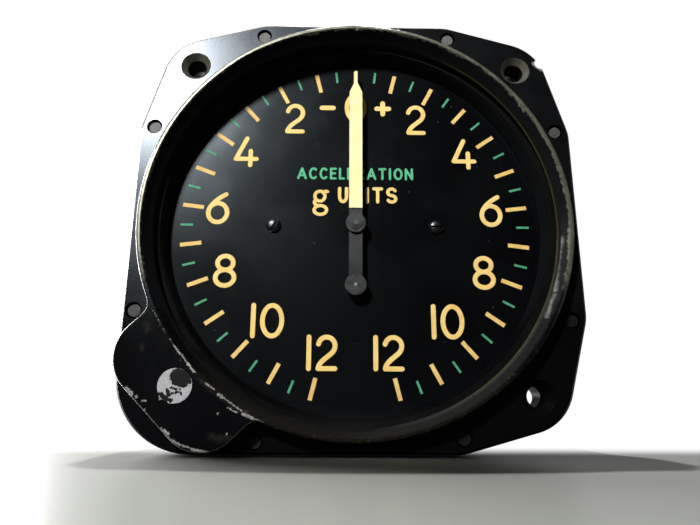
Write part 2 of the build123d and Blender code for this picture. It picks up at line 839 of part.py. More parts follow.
with BuildPart() as lever_arbor:
    shoulder_front_y = front_plate_back + arbor_shoulder_gap
    shoulder_back_y = back_plate_depth - arbor_shoulder_gap
    sector_back = sector_depth + sector_thickness
    add_disc(arbor_x, arbor_z, arbor_pivot_radius, front_plate_depth, shoulder_front_y)
    add_disc(arbor_x, arbor_z, arbor_radius, shoulder_front_y, shoulder_back_y)
    add_disc(arbor_x, arbor_z, arbor_pivot_radius, shoulder_back_y, back_plate_back)
    for front in (sector_back, lever_back):
        add_disc(arbor_x, arbor_z, arbor_flange_radius, front, front + arbor_flange_thickness)

save(lever_arbor, "lever_arbor")

with BuildPart() as arbor_bearings:
    bore = arbor_pivot_radius + running_clearance
    bearing(arbor_x, arbor_z, bore, front_plate_depth, front_plate_back)
    bearing(arbor_x, arbor_z, bore, back_plate_depth, back_plate_back)

save(arbor_bearings, "arbor_bearings")

with BuildPart() as sector_gear:
    # Drawn about the arbor with its middle tooth on local +X, which points at the pinion
    toward_staff = (-math.cos(mesh_turn), 0, -math.sin(mesh_turn))
    sector_plane = Plane(origin=(arbor_x, sector_depth, arbor_z), x_dir=toward_staff,
                         z_dir=(0, -1, 0))
    tooth_pitch = 360 / sector_circle_teeth
    half_count = sector_teeth // 2
    rim_points = []
    for tooth in range(-half_count, half_count + 1):
        rim_points += turned_points(tooth_outline(sector_circle_teeth, sector_addendum),
                                    tooth * tooth_pitch)
    sector_root = sector_pitch_radius - dedendum * gear_module
    rim_inner = sector_root - sector_rim_width
    edge_angle = (half_count + 1) * tooth_pitch
    inner_start = turned_points([(rim_inner, 0)], edge_angle)[0]
    inner_end = turned_points([(rim_inner, 0)], -edge_angle)[0]
    outer_start = turned_points([(sector_root, 0)], edge_angle)[0]
    outer_end = turned_points([(sector_root, 0)], -edge_angle)[0]
    with BuildSketch(sector_plane):
        with BuildLine():
            Polyline(inner_end, outer_end, *rim_points, outer_start, inner_start)
            ThreePointArc(inner_start, (rim_inner, 0), inner_end)
        make_face()
        Circle(sector_hub_radius)
        spoke_length = rim_inner + sector_rim_width / 2
        for angle in (-edge_angle * spoke_spread, 0, edge_angle * spoke_spread):
            with Locations(*turned_points([(spoke_length / 2, 0)], angle)):
                Rectangle(spoke_length, sector_spoke_width, rotation=angle)
        Circle(arbor_radius, mode=Mode.SUBTRACT)
    extrude(amount=-sector_thickness)

save(sector_gear, "sector_gear")

mass_x = arbor_x - mass_offset
mass_screw_points = [(mass_x - mass_screw_spacing / 2, arbor_z),
                     (mass_x + mass_screw_spacing / 2, arbor_z)]

with BuildPart() as mass_lever:
    arm_end = mass_x - mass_width / 2
    with BuildSketch(at_depth(lever_depth)):
        with Locations(((arbor_x + arm_end) / 2, arbor_z)):
            Rectangle(arbor_x - arm_end, 2 * lever_half_width)
        with Locations((arbor_x, arbor_z)):
            Circle(lever_hub_radius)
            Circle(arbor_radius, mode=Mode.SUBTRACT)
        with Locations(*mass_screw_points):
            Circle(mass_screw_radius, mode=Mode.SUBTRACT)
        with Locations((spring_x, arbor_z)):
            Circle(spring_pin_radius, mode=Mode.SUBTRACT)
    extrude(amount=-lever_thickness)

save(mass_lever, "mass_lever")

with BuildPart() as inertia_mass:
    with BuildSketch(at_depth(lever_back)):
        with Locations((mass_x, arbor_z)):
            RectangleRounded(mass_width, mass_height, mass_edge_radius)
        with Locations(*mass_screw_points):
            Circle(mass_screw_radius, mode=Mode.SUBTRACT)
    extrude(amount=-mass_thickness)

save(inertia_mass, "inertia_mass")

with BuildPart() as mass_screws:
    head_front = lever_depth - mass_screw_head_height
    for x, z in mass_screw_points:
        add_disc(x, z, mass_screw_head_radius, head_front, lever_depth)
        add_disc(x, z, mass_screw_radius, lever_depth, lever_back + mass_screw_length)

save(mass_screws, "mass_screws")

with BuildPart() as spring_pin:
    pin_end = lower_spring_depth + spring_wire_width
    add_disc(spring_x, arbor_z, spring_pin_radius, lever_depth, pin_end)
    add_disc(spring_x, arbor_z, spring_pin_head_radius, pin_end, pin_end + spring_pin_head_height)

save(spring_pin, "spring_pin")

# Control springs and their posts

with BuildPart() as spring_posts:
    for (x, z), depth in zip(post_points, (upper_spring_depth, lower_spring_depth)):
        seat_back = depth + spring_wire_width
        add_disc(x, z, spring_post_seat_radius, depth - spring_wire_width, seat_back)
        add_disc(x, z, spring_post_radius, depth - 2 * spring_wire_width, depth - spring_wire_width)
        add_disc(x, z, spring_post_radius, seat_back, back_plate_depth)
        add_disc(x, z, spring_post_seat_radius, back_plate_depth, back_plate_back)

save(spring_posts, "spring_posts")


def control_spring(depth, direction):
    """Helical spring on a vertical axis, with an eye round the lever's pin and one on its post."""
    eye_radius = spring_pin_radius + eye_clearance + spring_wire_width / 2
    coil_start = eye_radius + spring_stem_length
    coil_height = spring_span - 2 * coil_start
    with BuildPart() as spring:
        for centre in (0, spring_span):
            centre_z = arbor_z + direction * centre
            with BuildSketch(Plane(origin=(spring_x, depth, centre_z), x_dir=(1, 0, 0),
                                   z_dir=(0, 0, 1))):
                with Locations((eye_radius, 0)):
                    RegularPolygon(spring_wire_width / 2, wire_sides)
            revolve(axis=Axis((spring_x, depth, centre_z), (0, 1, 0)))
        low_z = arbor_z + coil_start if direction > 0 else arbor_z - spring_span + coil_start
        base = Plane(origin=(spring_x, depth, low_z), x_dir=(1, 0, 0), z_dir=(0, 0, 1))
        with BuildLine(base) as path:
            Helix(pitch=coil_height / spring_coils, height=coil_height, radius=spring_radius)
        with BuildSketch(Plane(origin=path.line @ 0, z_dir=path.line % 0)):
            RegularPolygon(spring_wire_width / 2, wire_sides)
        sweep(path=path.line, is_frenet=True)
        high_z = low_z + coil_height
        for end_z, eye_z in ((low_z, low_z - spring_stem_length), (high_z, high_z + spring_stem_length)):
            with BuildSketch(Plane(origin=(spring_x - spring_wire_width / 2, depth, end_z),
                                   x_dir=(0, 1, 0), z_dir=(1, 0, 0))):
                RegularPolygon(spring_wire_width / 2, wire_sides)
            extrude(amount=spring_radius + spring_wire_width)
            with BuildSketch(Plane(origin=(spring_x, depth, min(end_z, eye_z)), x_dir=(1, 0, 0),
                                   z_dir=(0, 0, 1))):
                RegularPolygon(spring_wire_width / 2, wire_sides)
            extrude(amount=abs(end_z - eye_z))
    return spring


upper_spring = control_spring(upper_spring_depth, 1)
lower_spring = control_spring(lower_spring_depth, -1)
save(upper_spring, "upper_spring")
save(lower_spring, "lower_spring")
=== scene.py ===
# %% [markdown]
# # Dressing a panel-mounted g-meter
# A g-meter shows a pilot how hard the aircraft pulls. Behind its glass a pointer turns over a black
# dial from minus 12 to plus 12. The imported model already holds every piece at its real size, so this
# lesson gives each piece its finish, paints the dial's figures, and lights the whole.

# %% Load the frame
import math

import bmesh
import bpy
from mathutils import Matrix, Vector


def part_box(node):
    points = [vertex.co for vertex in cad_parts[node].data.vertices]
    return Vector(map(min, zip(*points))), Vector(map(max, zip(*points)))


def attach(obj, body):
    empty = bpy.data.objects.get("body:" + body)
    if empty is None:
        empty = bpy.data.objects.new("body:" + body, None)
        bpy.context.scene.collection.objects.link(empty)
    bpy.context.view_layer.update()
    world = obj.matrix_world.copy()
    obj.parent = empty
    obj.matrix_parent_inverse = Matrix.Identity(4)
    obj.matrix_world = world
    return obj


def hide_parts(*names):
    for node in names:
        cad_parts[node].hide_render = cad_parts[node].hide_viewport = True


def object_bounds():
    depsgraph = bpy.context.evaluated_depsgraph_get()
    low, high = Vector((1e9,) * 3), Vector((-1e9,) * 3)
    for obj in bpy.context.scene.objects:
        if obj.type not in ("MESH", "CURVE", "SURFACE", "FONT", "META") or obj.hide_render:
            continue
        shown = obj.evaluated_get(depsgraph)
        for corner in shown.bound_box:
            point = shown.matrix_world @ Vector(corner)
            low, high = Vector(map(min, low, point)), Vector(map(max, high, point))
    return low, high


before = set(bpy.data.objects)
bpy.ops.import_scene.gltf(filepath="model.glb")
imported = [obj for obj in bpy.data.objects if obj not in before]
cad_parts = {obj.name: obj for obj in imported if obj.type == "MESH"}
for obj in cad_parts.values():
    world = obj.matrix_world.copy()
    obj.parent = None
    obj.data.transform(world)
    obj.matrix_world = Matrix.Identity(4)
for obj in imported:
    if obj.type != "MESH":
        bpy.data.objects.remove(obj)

MM = 0.001
cad_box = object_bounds()

# %% [markdown]
# ## The camera
# The photograph was taken from very close with a short lens, a little below the middle of the dial and
# looking up, which is why the ring seems wider at its right than at its foot. A camera placed by
# matching the dial's tick marks repeats that perspective, so it is set by numbers and not by eye.

# %% Camera
focal_length = 28.76
film_width = 36.0
camera_place = (-2.84, -97.6, -32.5)
camera_turns = (104.05, -0.23, -1.09)

camera_data = bpy.data.cameras.new("photo_camera")
camera_data.lens = focal_length
camera_data.sensor_width = film_width
camera_data.clip_start = 1 * MM
camera = bpy.data.objects.new("photo_camera", camera_data)
camera.location = Vector(camera_place) * MM
camera.rotation_euler = [math.radians(turn) for turn in camera_turns]
bpy.context.scene.collection.objects.link(camera)
bpy.context.scene.camera = camera
bpy.context.scene.view_settings.view_transform = "Standard"
print("camera stands", round(-camera.location.y / MM, 1), "mm in front of the flange")

# %% [markdown]
# ## Helpers for materials
# A finish is a chain of small nodes. One function adds a node, sets what is given as a number and
# links what is given as a socket, so that a whole recipe reads like a list. All patterns use object
# coordinates, which are the real millimetres of the part, so they stay put when a piece turns.

# %% Node helpers
def add_node(tree, kind, inputs=None, **settings):
    """Add one shader node; inputs that are sockets get linked, the others get set."""
    node = tree.nodes.new("ShaderNode" + kind)
    for name, value in settings.items():
        setattr(node, name, value)
    for name, value in (inputs or {}).items():
        if isinstance(value, bpy.types.NodeSocket):
            tree.links.new(value, node.inputs[name])
        else:
            node.inputs[name].default_value = value
    return node


def new_material(name, color, roughness, **plain):
    """A material with one Principled shader; plain holds other sockets, such as Metallic."""
    material = bpy.data.materials.new(name)
    material.use_nodes = True
    shader = material.node_tree.nodes["Principled BSDF"]
    shader.inputs["Base Color"].default_value = (*color, 1)
    shader.inputs["Roughness"].default_value = roughness
    for socket, value in plain.items():
        shader.inputs[socket.replace("_", " ")].default_value = value
    return material, material.node_tree, shader


def place(tree):
    """The point on the piece, in millimetres."""
    coordinates = add_node(tree, "TexCoord").outputs["Object"]
    return add_node(tree, "VectorMath", {0: coordinates, "Scale": 1 / MM},
                    operation="SCALE").outputs[0]


def calc(tree, operation, first, second=0.0, clamp=False):
    """A sum, product or the like of two values or sockets."""
    return add_node(tree, "Math", {0: first, 1: second}, operation=operation,
                    use_clamp=clamp).outputs[0]


def times(tree, first, second):
    """The product of two values or sockets."""
    return calc(tree, "MULTIPLY", first, second)


def both(tree, *masks):
    """Masks multiplied, so that only what lies in all of them stays."""
    result = masks[0]
    for mask in masks[1:]:
        result = times(tree, result, mask)
    return result


def either(tree, *masks):
    """The strongest of some masks, so that what lies in any of them stays."""
    result = masks[0]
    for mask in masks[1:]:
        result = calc(tree, "MAXIMUM", result, mask)
    return result


def step(tree, value, start, end, low=0.0, high=1.0):
    """Goes softly from low to high while the value goes from start to end."""
    node = add_node(tree, "MapRange", {"Value": value, "From Min": start, "From Max": end,
                                       "To Min": low, "To Max": high},
                    interpolation_type="SMOOTHSTEP")
    return node.outputs[0]


def axis(tree, where, name):
    """One coordinate of a point: X, Y or Z."""
    return add_node(tree, "SeparateXYZ", {0: where}).outputs[name]


def scaled(tree, where, factors):
    """The point with each coordinate multiplied; a large factor squeezes a pattern that way."""
    return add_node(tree, "VectorMath", {0: where, 1: factors}, operation="MULTIPLY").outputs[0]


def from_middle(tree, where):
    """How far a point is from the dial's axis, seen from the front."""
    flat = scaled(tree, where, (1, 0, 1))
    return add_node(tree, "VectorMath", {0: flat}, operation="LENGTH").outputs["Value"]


def to_lower_right(tree, where):
    """How far a point lies toward the lower right, seen from the front."""
    direction = (math.sqrt(0.5), 0, -math.sqrt(0.5))
    return add_node(tree, "VectorMath", {0: where, 1: direction},
                    operation="DOT_PRODUCT").outputs["Value"]


def noise(tree, where, size, detail=4.0, roughness=0.55):
    """Cloudy values about 0.5, with blots of about that many millimetres."""
    return add_node(tree, "TexNoise", {"Vector": where, "Scale": 1 / size, "Detail": detail,
                                       "Roughness": roughness}).outputs["Fac"]


def blend_colors(tree, share, first, second):
    """A colour between two colours, each given as a socket or as three numbers."""
    ends = [end if isinstance(end, bpy.types.NodeSocket) else (*end, 1)
            for end in (first, second)]
    return add_node(tree, "Mix", {0: share, 6: ends[0], 7: ends[1]}, data_type="RGBA").outputs[2]


def bump(tree, height, depth, strength=1.0):
    """A normal from a height between 0 and 1 that stands for a depth in millimetres."""
    return add_node(tree, "Bump", {"Height": height, "Distance": depth * MM,
                                   "Strength": strength}).outputs[0]


def feed(tree, shader, **sockets):
    """Link sockets to the shader's inputs, such as Base_Color."""
    for name, socket in sockets.items():
        tree.links.new(socket, shader.inputs[name.replace("_", " ")])


def finish(material, *nodes):
    """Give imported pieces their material."""
    for node in nodes:
        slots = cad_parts[node].data.materials
        slots.clear()
        slots.append(material)


print("helpers are ready")

# %% [markdown]
# ## Wear as strokes on a map
# Paint comes off where hands and tools rub: on the rim, along edges and beside the knob hole. Such
# places are known in millimetres, so each one is a short line with a width. The distance to the nearest
# line, roughened with noise, tells paint from bare metal. A node group holds the distance sum once.

# %% Distance to a line on the front
def line_distance_group():
    """A group: how far a point is from a line between two points, seen from the front."""
    group = bpy.data.node_groups.new("line_distance", "ShaderNodeTree")
    for name in ("Point", "Start", "End"):
        group.interface.new_socket(name, in_out="INPUT", socket_type="NodeSocketVector")
    for name in ("Half", "Nearest"):
        group.interface.new_socket(name, in_out="INPUT", socket_type="NodeSocketFloat")
    group.interface.new_socket("Distance", in_out="OUTPUT", socket_type="NodeSocketFloat")
    given = group.nodes.new("NodeGroupInput").outputs

    def vector(operation, first, second):
        return add_node(group, "VectorMath", {0: first, 1: second}, operation=operation)

    flat = vector("MULTIPLY", given["Point"], (1, 0, 1)).outputs[0]
    along = vector("SUBTRACT", given["End"], given["Start"]).outputs[0]
    offset = vector("SUBTRACT", flat, given["Start"]).outputs[0]
    reach = vector("DOT_PRODUCT", offset, along).outputs["Value"]
    length = vector("DOT_PRODUCT", along, along).outputs["Value"]
    share = calc(group, "DIVIDE", reach, length, clamp=True)
    foot = add_node(group, "VectorMath", {0: along, "Scale": share}, operation="SCALE").outputs[0]
    gap = vector("SUBTRACT", offset, foot).outputs[0]
    reached = add_node(group, "VectorMath", {0: gap}, operation="LENGTH").outputs["Value"]
    reached = calc(group, "SUBTRACT", reached, given["Half"])
    result = calc(group, "MINIMUM", reached, given["Nearest"])
    target = group.nodes.new("NodeGroupOutput")
    group.links.new(result, target.inputs["Distance"])
    return group


line_distance = line_distance_group()
far_away = 1000.0
end_shift = 0.001      # keeps a stroke that is a single dot from having no length


def patches(tree, where, strokes, ragged, blot, soft=0.08):
    """1 inside the strokes, each (x, z, x, z, half width) in millimetres, with ragged borders."""
    nearest = far_away
    for x1, z1, x2, z2, half_width in strokes:
        group = tree.nodes.new("ShaderNodeGroup")
        group.node_tree = line_distance
        tree.links.new(where, group.inputs["Point"])
        group.inputs["Start"].default_value = (x1, 0, z1)
        group.inputs["End"].default_value = (x2, 0, z2 + end_shift)
        group.inputs["Half"].default_value = half_width
        if nearest is far_away:
            group.inputs["Nearest"].default_value = far_away
        else:
            tree.links.new(nearest, group.inputs["Nearest"])
        nearest = group.outputs[0]
    rough = calc(tree, "SUBTRACT", noise(tree, where, blot, 5.0, 0.65), 0.5)
    edge = calc(tree, "ADD", nearest, times(tree, rough, ragged))
    return step(tree, edge, soft, -soft)


print("wear strokes are ready")

# %% [markdown]
# ## The casting's paint and its wear
# The front is one aluminium casting in black enamel with a dull shine. Years of handling have rubbed
# the rim of the ring down to warm grey metal, and chips run along the lug. One material carries it
# all: a paint, a metal, and a mask between them that is built from the places where it wears. It also
# holds painted highlights: a pale streak down the cone at the right and, in part, the line on the lug's
# edge.

# %% Where the casting is worn
rim_inner = 38.3
rim_outer = 39.1
ring_top = -3.0
corner_hole = 31.43
sink_reach = 2.95
bore_reach = 2.4
lug_streaks = [
    (-34.6, -17.3, -32.1, -21.4, -0.06), (-31.4, -22.1, -30.6, -23.3, -0.05),
    (-30.6, -23.3, -28.0, -26.3, 0.08), (-28.0, -26.4, -26.8, -27.7, 0.15),
    (-24.9, -29.5, -23.4, -30.5, 0.1), (-22.7, -31.3, -21.8, -31.8, 0.21),
    (-21.7, -31.9, -18.6, -34.0, 0.08), (-21.0, -33.4, -19.5, -34.2, 0.08),
    (-18.5, -34.4, -16.9, -35.0, 0.21), (-16.9, -35.0, -15.2, -35.6, 0.03),
]
lug_edge_chips = [
    (-37.8, -30.4, -36.8, -31.3, 0.32), (-36.0, -31.6, -35.9, -31.8, 0.18),
    (-35.0, -32.35, -34.4, -32.4, 0.12), (-34.5, -33.8, -34.4, -33.7, 0.1),
    (-32.05, -31.6, -31.95, -32.0, 0.22), (-30.45, -32.6, -30.4, -32.62, 0.18),
    (-31.5, -36.6, -30.0, -38.4, 0.12), (-31.0, -37.0, -30.3, -37.5, 0.2),
    (-30.0, -38.4, -28.4, -39.2, 0.2), (-28.4, -39.2, -26.4, -39.8, 0.1),
    (-26.4, -39.9, -23.7, -40.4, 0.18), (-22.5, -34.35, -22.5, -34.3, 0.12),
    (-20.9, -37.6, -20.9, -37.5, 0.12),
]
lug_rub = [(-35.4, -19.8, -35.1, -20.6, 0.4), (-35.8, -23.4, -35.7, -23.9, 0.1),
           (-23.5, -38.0, -20.4, -38.3, 0.4)]
# A painted highlight: a pale streak down the ring's cone at the right.
cone_painted_highlight = [(37.1, -3.5, 35.0, -13.2, 0.2), (34.8, -14.0, 33.0, -18.0, 0.1)]
corner_chip = [(35.4, 33.0, 36.8, 31.8, 0.5)]
upper_holes = [(-corner_hole, corner_hole), (corner_hole, corner_hole)]
all_holes = upper_holes + [(corner_hole, -corner_hole)]
bare_sinks = [(x, z, x, z, sink_reach) for x, z in upper_holes]
hole_walls = [(x, z, x, z, bore_reach) for x, z in all_holes]


def rim_wear(tree, where, radius, depth, height):
    """The rubbed front of the ring: whole over its upper part, in spots below."""
    rough = calc(tree, "SUBTRACT", noise(tree, where, 0.8, 6.0, 0.7), 0.5)
    broad = calc(tree, "SUBTRACT", noise(tree, where, 6.0, 2.0), 0.5)
    spread = calc(tree, "ADD", times(tree, rough, 1.1), broad)
    inner = step(tree, calc(tree, "ADD", radius, spread), rim_inner - 0.2, rim_inner - 0.03)
    front = step(tree, depth, ring_top + 0.85, ring_top + 0.65)
    outer = step(tree, radius, rim_outer + 0.15, rim_outer + 0.02)
    upper = step(tree, calc(tree, "ADD", height, times(tree, rough, 16.0)), -15.0, -5.0)
    spots = times(tree, step(tree, rough, 0.07, 0.14), 0.12)
    return both(tree, inner, front, outer, either(tree, upper, spots))


def edge_wear_and_glint(tree, radius, depth, fine):
    """The rounded edge of the lug, rubbed through in a grainy line that is partly a painted highlight
    along the edge.
    """
    return both(tree, step(tree, depth, ring_top + 0.02, ring_top + 0.1),
                step(tree, depth, ring_top + 0.4, ring_top + 0.3),
                step(tree, radius, rim_outer + 0.1, rim_outer + 0.3),
                step(tree, fine, 0.35, 0.6, 0.15, 0.8))


def sink_wear(tree, where, depth, fine):
    """Half-bare metal in the cones of the two upper screw holes."""
    in_cone = both(tree, step(tree, depth, 0.02, 0.1), step(tree, depth, 1.25, 1.1))
    return both(tree, patches(tree, where, bare_sinks, 0.0, 1.0), in_cone,
                step(tree, fine, 0.3, 0.6, 0.35, 0.8))


print("worn places:", len(lug_streaks) + len(lug_edge_chips) + len(lug_rub) + len(corner_chip))

# %% [markdown]
# The places become masks, and the masks choose between paint, rubbed metal and bare metal. Where paint
# is gone the surface is also rougher and more metallic. The paint itself has a satin shine, but it is
# flat inside the ring, in the screw holes and low on the front, where grime has dulled it.

# %% Casting material
paint_black = (0.0016, 0.0016, 0.0019)
bare_metal = (0.46, 0.45, 0.42)
rubbed_metal = (0.24, 0.23, 0.175)
cool_shine = (0.80, 0.90, 1.0, 1)
grime_brown = (0.05, 0.048, 0.04)
foot_brown = (0.008, 0.007, 0.005)
cone_grey = (0.013, 0.013, 0.0125)
cone_outer = rim_inner - 0.1
cone_inner = rim_inner - 0.3


def casting_material():
    """Satin black enamel over cast aluminium, worn through where it is handled."""
    material, tree, shader = new_material("black_enamel_worn", paint_black, 0.35,
                                          Specular_Tint=cool_shine)
    where = place(tree)
    depth, height = axis(tree, where, "Y"), axis(tree, where, "Z")
    radius = from_middle(tree, where)
    diagonal = to_lower_right(tree, where)
    fine = noise(tree, where, 0.35, 5.0, 0.7)
    cloud = noise(tree, where, 9.0, 4.0)

    # Bare metal: chips on the lug's face and at the flange's corner
    on_lug = step(tree, depth, ring_top + 1.2, ring_top + 0.9)
    chips = patches(tree, where, lug_streaks + lug_edge_chips, 1.1, 0.3, 0.05)
    corner = patches(tree, where, corner_chip, 0.6, 0.5)
    bare = either(tree, both(tree, chips, on_lug), corner)

    # Rubbed metal: the ring's rim, the lug's edge (partly a painted highlight), two cones and some
    # smears on the lug
    rub = both(tree, patches(tree, where, lug_rub, 2.0, 0.7, 0.6), on_lug)
    dull = either(tree, rim_wear(tree, where, radius, depth, height),
                  edge_wear_and_glint(tree, radius, depth, fine), sink_wear(tree, where, depth, fine),
                  times(tree, rub, 0.05))

    # Paint: grimy in clouds, brownish at the ring's foot, greyer inside the ring at the lower right,
    # with a painted highlight streaked down the cone there
    grime = step(tree, calc(tree, "ADD", fine, times(tree, cloud, 0.6)), 0.98, 1.12)
    paint = blend_colors(tree, times(tree, grime, 0.15), paint_black, grime_brown)
    foot = both(tree, step(tree, height, -24.0, -33.0), step(tree, radius, 36.9, 37.3),
                step(tree, radius, rim_outer + 0.2, rim_outer))
    paint = blend_colors(tree, times(tree, foot, 0.8), paint, foot_brown)
    in_ring = step(tree, radius, cone_outer, cone_inner)
    cone = both(tree, step(tree, diagonal, 23.0, 30.0), in_ring, step(tree, depth, 0.0, -0.3),
                step(tree, fine, 0.35, 0.65, 0.4, 1.0))
    painted_highlight_streak = both(tree, patches(tree, where, cone_painted_highlight, 0.7, 0.8, 0.35), in_ring)

    metal_tone = step(tree, noise(tree, where, 1.3, 6.0, 0.7), 0.3, 0.7)
    warm = blend_colors(tree, metal_tone, (0.13, 0.125, 0.09), rubbed_metal)
    light = blend_colors(tree, metal_tone, (0.30, 0.295, 0.27), bare_metal)
    color = blend_colors(tree, cone, paint, cone_grey)
    color = blend_colors(tree, times(tree, painted_highlight_streak, 0.5), color, light)
    color = blend_colors(tree, dull, color, warm)
    color = blend_colors(tree, bare, color, light)

    # Enamel shines softly, worn metal is rougher, and inside the ring the paint is dead flat
    worn = either(tree, dull, bare)
    paint_shine = step(tree, cloud, 0.3, 0.7, 0.25, 0.31)
    scratch_where = scaled(tree, where, (0.25, 1, 2.4))
    scratches = step(tree, noise(tree, scratch_where, 0.9, 8.0, 0.8), 0.6, 0.72)
    shine = calc(tree, "ADD", paint_shine, times(tree, scratches, 0.08))
    shine = calc(tree, "ADD", shine, step(tree, fine, 0.4, 0.7, -0.01, 0.03))
    shine = calc(tree, "ADD", shine, times(tree, worn, 0.1))
    bores = both(tree, patches(tree, where, hole_walls, 0.0, 1.0), step(tree, depth, 1.1, 1.25))
    flat_paint = calc(tree, "SUBTRACT", step(tree, radius, rim_inner, cone_outer - 0.1),
                      times(tree, cone, 0.2))
    flat_paint = either(tree, flat_paint, bores)
    shine = either(tree, shine, times(tree, flat_paint, 0.85))
    metallic = either(tree, times(tree, worn, 0.7), times(tree, cone, 0.2))
    low = step(tree, height, -12.0, -22.0)
    satin = step(tree, low, 0.0, 1.0, 0.6, 0.12)
    gloss = both(tree, step(tree, flat_paint, 0.0, 1.0, 1.0, 0.2), satin)

    # The bump takes only the fine grain: a mask with hard borders there would turn the piece black
    feed(tree, shader, Base_Color=color, Roughness=shine, Metallic=metallic,
         Specular_IOR_Level=gloss, Normal=bump(tree, fine, 0.006, 0.6))
    return material


finish(casting_material(), "front_casting")
print("casting: streaks", len(lug_streaks), "chips", len(lug_edge_chips))

# %% [markdown]
# ## The plug in the knob hole
# Someone closed the knob's hole with a round plug and painted over it. The paint never held, so about
# half of it has flaked off. The same strokes that marked bare metal on the casting here mark the paint
# that is still left, in millimetres from the plug's own middle.

# %% Plug material
plug_low, plug_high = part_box("knob_hole_plug")
plug_x = (plug_low.x + plug_high.x) / 2 / MM
plug_z = (plug_low.z + plug_high.z) / 2 / MM
paint_left = [(0.2, 1.6, 1.6, 1.4, 1.15), (0.3, 0.8, 1.4, 0.5, 0.8), (2.2, 1.2, 2.2, 0.6, 0.5),
              (-0.5, -0.3, 0.3, -0.6, 0.22), (-0.3, -1.2, 0.6, -1.0, 0.2),
              (-2.2, -1.5, -1.2, -2.2, 0.5), (-1.2, -0.8, -0.8, -1.6, 0.3),
              (-0.9, -2.2, -0.4, -2.4, 0.3), (0.9, -0.6, 1.2, -1.4, 0.14)]


def plug_material():
    """Bright metal with ragged islands of black paint."""
    material, tree, shader = new_material("flaked_plug", (0.4, 0.4, 0.4), 0.5)
    where = place(tree)
    strokes = [(x1 + plug_x, z1 + plug_z, x2 + plug_x, z2 + plug_z, half)
               for x1, z1, x2, z2, half in paint_left]
    paint = patches(tree, where, strokes, 1.1, 0.4, 0.05)
    tone = step(tree, noise(tree, where, 0.5, 6.0, 0.7), 0.3, 0.7)
    metal = blend_colors(tree, tone, (0.27, 0.27, 0.28), (0.38, 0.38, 0.39))
    feed(tree, shader, Base_Color=blend_colors(tree, paint, metal, paint_black),
         Metallic=step(tree, paint, 0.0, 1.0, 0.2, 0.0),
         Roughness=step(tree, paint, 0.0, 1.0, 0.6, 0.32),
         Normal=bump(tree, paint, 0.04))
    return material


finish(plug_material(), "knob_hole_plug")
print("plug at", round(plug_x, 2), round(plug_z, 2))

# %% [markdown]
# ## Plain paints, rubber and the case
# Most other painted pieces need no map of wear. They share one recipe: a dark colour with slow clouds
# of a second tone, a roughness that changes with them, and a fine bump like sprayed enamel.

# %% Painted and rubber pieces
def cloudy_material(name, first, second, rough_low, rough_high, cloud=6.0, grain=0.3, depth=0.01,
                    **plain):
    """A colour that drifts between two tones, with a fine grain."""
    material, tree, shader = new_material(name, first, rough_low, **plain)
    where = place(tree)
    tone = step(tree, noise(tree, where, cloud, 5.0, 0.6), 0.3, 0.7)
    feed(tree, shader, Base_Color=blend_colors(tree, tone, first, second),
         Roughness=step(tree, tone, 0.0, 1.0, rough_low, rough_high),
         Normal=bump(tree, noise(tree, where, grain, 3.0), depth))
    return material


case_paint = cloudy_material("case_enamel", (0.009, 0.009, 0.010), (0.016, 0.0155, 0.015),
                             0.34, 0.46, cloud=12.0, depth=0.02)
rubber = cloudy_material("seal_rubber", (0.002, 0.002, 0.002), (0.004, 0.004, 0.004), 0.75, 0.9,
                         Specular_IOR_Level=0.06)
pointer_paint = cloudy_material("pointer_grey", (0.006, 0.006, 0.007), (0.011, 0.011, 0.012),
                                0.4, 0.5, cloud=3.0)
finish(case_paint, "case")
finish(rubber, "glass_gasket", "case_gasket")
finish(pointer_paint, "pointer")
print("plain paints done")

# %% [markdown]
# ## The ring that holds the glass
# A thin ring in front of the glass shows as the inner band of the bezel. At the lower right its paint
# is rubbed to grey, and on its right half a brassy line along the inner edge is a painted highlight.

# %% Retaining ring
glint_edge_radius = 36.9
glint_brass_color = (0.07, 0.06, 0.027)
rubbed_grey = (0.022, 0.022, 0.021)


def ring_material():
    """Black ring whose paint is rubbed to grey at the lower right, with a painted highlight in brass
    along the inner edge.
    """
    material, tree, shader = new_material("retaining_ring", paint_black, 0.4,
                                          Specular_IOR_Level=0.12)
    where = place(tree)
    radius = from_middle(tree, where)
    grain = step(tree, noise(tree, where, 0.4, 5.0, 0.7), 0.35, 0.65)
    rubbed = both(tree, step(tree, to_lower_right(tree, where), 27.0, 35.0),
                  step(tree, grain, 0.0, 1.0, 0.5, 1.0))
    # Painted highlight: a thin brassy line along the inner edge on the right half.
    edge = both(tree, step(tree, radius, glint_edge_radius + 0.1, glint_edge_radius),
                step(tree, axis(tree, where, "X"), 14.0, 24.0))
    color = blend_colors(tree, rubbed, paint_black, rubbed_grey)
    color = blend_colors(tree, edge, color, glint_brass_color)
    feed(tree, shader, Base_Color=color,
         Metallic=either(tree, times(tree, rubbed, 0.2), edge),
         Roughness=step(tree, grain, 0.0, 1.0, 0.5, 0.6), Normal=bump(tree, grain, 0.01))
    return material


finish(ring_material(), "glass_retaining_ring")
print("retaining ring done")

# %% [markdown]
# ## Metals of the movement
# The case hides a movement of turned brass, steel and aluminium. A turned or brushed surface shines in
# streaks because its fine scratches run one way. Noise squeezed in one direction makes such streaks,
# and they only need to steer the roughness and a very shallow bump.

# %% Metal pieces
def metal_material(name, color, shade, rough_low, rough_high, squeeze=(1, 12, 1), grain=0.5):
    """Machined metal with streaks along one direction and slightly darker stains."""
    material, tree, shader = new_material(name, color, rough_low, Metallic=1.0)
    where = place(tree)
    streaks = noise(tree, scaled(tree, where, squeeze), grain, 4.0)
    stain = step(tree, noise(tree, where, 4.0, 5.0, 0.65), 0.45, 0.75)
    feed(tree, shader, Base_Color=blend_colors(tree, stain, color, shade),
         Roughness=step(tree, streaks, 0.3, 0.7, rough_low, rough_high),
         Normal=bump(tree, streaks, 0.006))
    return material


